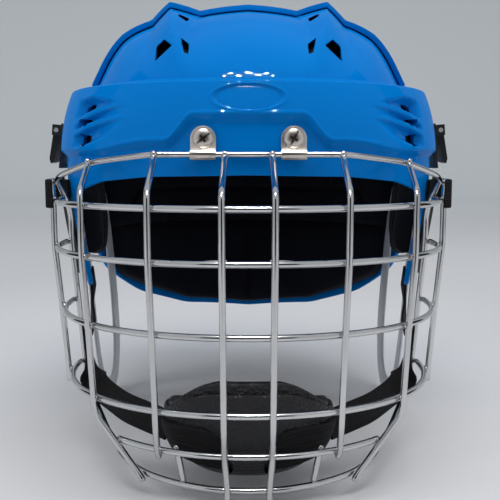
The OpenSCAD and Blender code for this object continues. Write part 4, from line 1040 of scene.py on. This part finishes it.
u, v = np.linspace(0, 1, 34), np.linspace(-1, 1, 13)
turn = np.interp(u, (0, 1), TAB_TURNS)[:, None]
half_wide = TAB_HALF_W * np.sqrt(np.clip(1 - np.maximum(0, (u - 0.86) / 0.14) ** 2, 0.04, 1))
fall = np.interp(u, (0, 1), TAB_FALLS)[:, None] + half_wide[:, None] * v[None]
for side, side_name in SIDES:
    sewn_web("cup_tab_%s_web" % side_name, side, in_cup(turn, fall, 0.4 + WEB_T), in_cup(turn, fall, 0.3),
             v[None] * WEB_W / 2 * MM, (u * TAB_L * MM)[:, None], "cage")

# ---- CAD hardware that stays
for material, kept in (
        (ZINC, "clip_tee_nuts lever_pins clamp_bolts clamp_nuts"), (NICKEL, "ear_screws strap_snaps"),
        (BLACK, "lever_base_left lever_base_right size_lever_left size_lever_right clamp_bushes "
                "slide_rail_left slide_rail_right")):
    for node in kept.split():
        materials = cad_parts[node].data.materials
        materials.clear()
        materials.append(material)


# ---- stage, light and camera
def pale_sweep(near, far):
    m = Nodes("pale_sweep")
    split = m.new("ShaderNodeSeparateXYZ")
    m.link(m.object, split.inputs[0])
    blend = m.range(split.outputs[1], 1.3, 2.4, 0, 1, "SMOOTHSTEP")
    speck = m.noise(40, 3)
    m.set(Specular_IOR_Level=0.25)
    return m.use(Base_Color=m.colours(m.blend(blend, 0.98, speck, 0.02), [(0, near), (1, far)]),
                 Roughness=m.range(speck, 0.3, 0.7, 0.55, 0.65))


def in_room(points):
    """Metres in the frame turned into the design's millimetres, which build() takes."""
    return np.array(points) / MM - [0, CENTRE_Y, 0]


FLOOR_START, BEND_Y, BEND_R, WALL_TOP = -1.6, 2.6, 0.9, 4.0
bend = [(BEND_Y + BEND_R * sind(a), BEND_R - BEND_R * cosd(a)) for a in np.linspace(0, 90, 25)]
sweep = [(FLOOR_START, 0)] + bend + [(BEND_Y + BEND_R, WALL_TOP)]
columns = np.linspace(-4, 4, 9)
stage_pts = in_room([(x, y, z) for x in columns for y, z in sweep])
rows = len(sweep)
stage_faces = [[i * rows + j, (i + 1) * rows + j, (i + 1) * rows + j + 1, i * rows + j + 1]
               for i in range(len(columns) - 1) for j in range(rows - 1)]
backdrop = build("backdrop", stage_pts, stage_faces, weld=False, sharp=80)
backdrop.data.materials.append(pale_sweep((0.66, 0.665, 0.685), (0.70, 0.735, 0.755)))
CARD_BLACK = black_plastic("card_black", 0.8)


def dark_card(name, corners):
    """A black card that shows in reflections and not to the camera."""
    card = build(name, in_room(corners), [[0, 1, 2, 3]], weld=False)
    card.data.materials.append(CARD_BLACK)
    card.visible_camera = False


dark_card("dark_card", [(-0.4, -1.05, 0.0), (0.4, -1.05, 0.0), (0.4, -1.05, 0.75), (-0.4, -1.05, 0.75)])
for side, side_name in SIDES:
    dark_card("dark_strip_" + side_name,
              [(side * 0.75, y, z) for y, z in ((0, 0), (0.3, 0), (0.3, 0.9), (0, 0.9))])


def area_light(name, location, target, size, energy, glossy=True, diffuse=True):
    data = bpy.data.lights.new(name, "AREA")
    data.shape = "RECTANGLE"
    data.size, data.size_y = size
    data.energy = energy
    lamp = bpy.data.objects.new(name, data)
    lamp.location = location
    lamp.rotation_euler = (Vector(target) - Vector(location)).to_track_quat("-Z", "Y").to_euler()
    lamp.visible_glossy = glossy
    lamp.visible_diffuse = diffuse
    scene.collection.objects.link(lamp)


area_light("key_overhead", (0.15, -0.35, 1.25), (0, 0, 0.1), (1.2, 0.9), 9, glossy=False)
area_light("left_window", (-1.3, -0.5, 0.7), (0, 0, 0.12), (0.7, 1.0), 6, glossy=False)
area_light("right_fill", (1.4, -0.3, 0.6), (0, 0, 0.12), (0.7, 1.0), 5, glossy=False)
LED_SIZE, LED_STEP, LED_ROW_GAP = 0.026, 0.05, 0.07
for k in range(7):
    area_light("ceiling_led_%d" % k, (-0.15 + LED_STEP * k, -0.55 + LED_ROW_GAP * (k % 2), 1.25),
               (0, -0.1, 0.2), (LED_SIZE, LED_SIZE), 3, diffuse=False)
area_light("front_glint", (0.02, -0.8, 1.1), (0, -0.1, 0.2), (0.3, 0.02), 2, diffuse=False)
world = bpy.data.worlds.new("soft_room")
scene.world = world
world.use_nodes = True
background = world.node_tree.nodes["Background"].inputs
background["Color"].default_value = (0.93, 0.95, 0.97, 1)
background["Strength"].default_value = 0.62

CAMERA_BACK, CAMERA_UP, CAMERA_TILT = 542, 171, 6.7
camera_data = bpy.data.cameras.new("photo_camera")
camera_data.sensor_width = 36
camera_data.lens = 56.66
camera_data.shift_x = 0.003
camera = bpy.data.objects.new("photo_camera", camera_data)
camera.location = (0, (CENTRE_Y - CAMERA_BACK) * MM, CAMERA_UP * MM)
camera.rotation_euler = (math.radians(90 - CAMERA_TILT), 0, 0)
scene.collection.objects.link(camera)
scene.camera = camera
scene.view_settings.view_transform = "Standard"
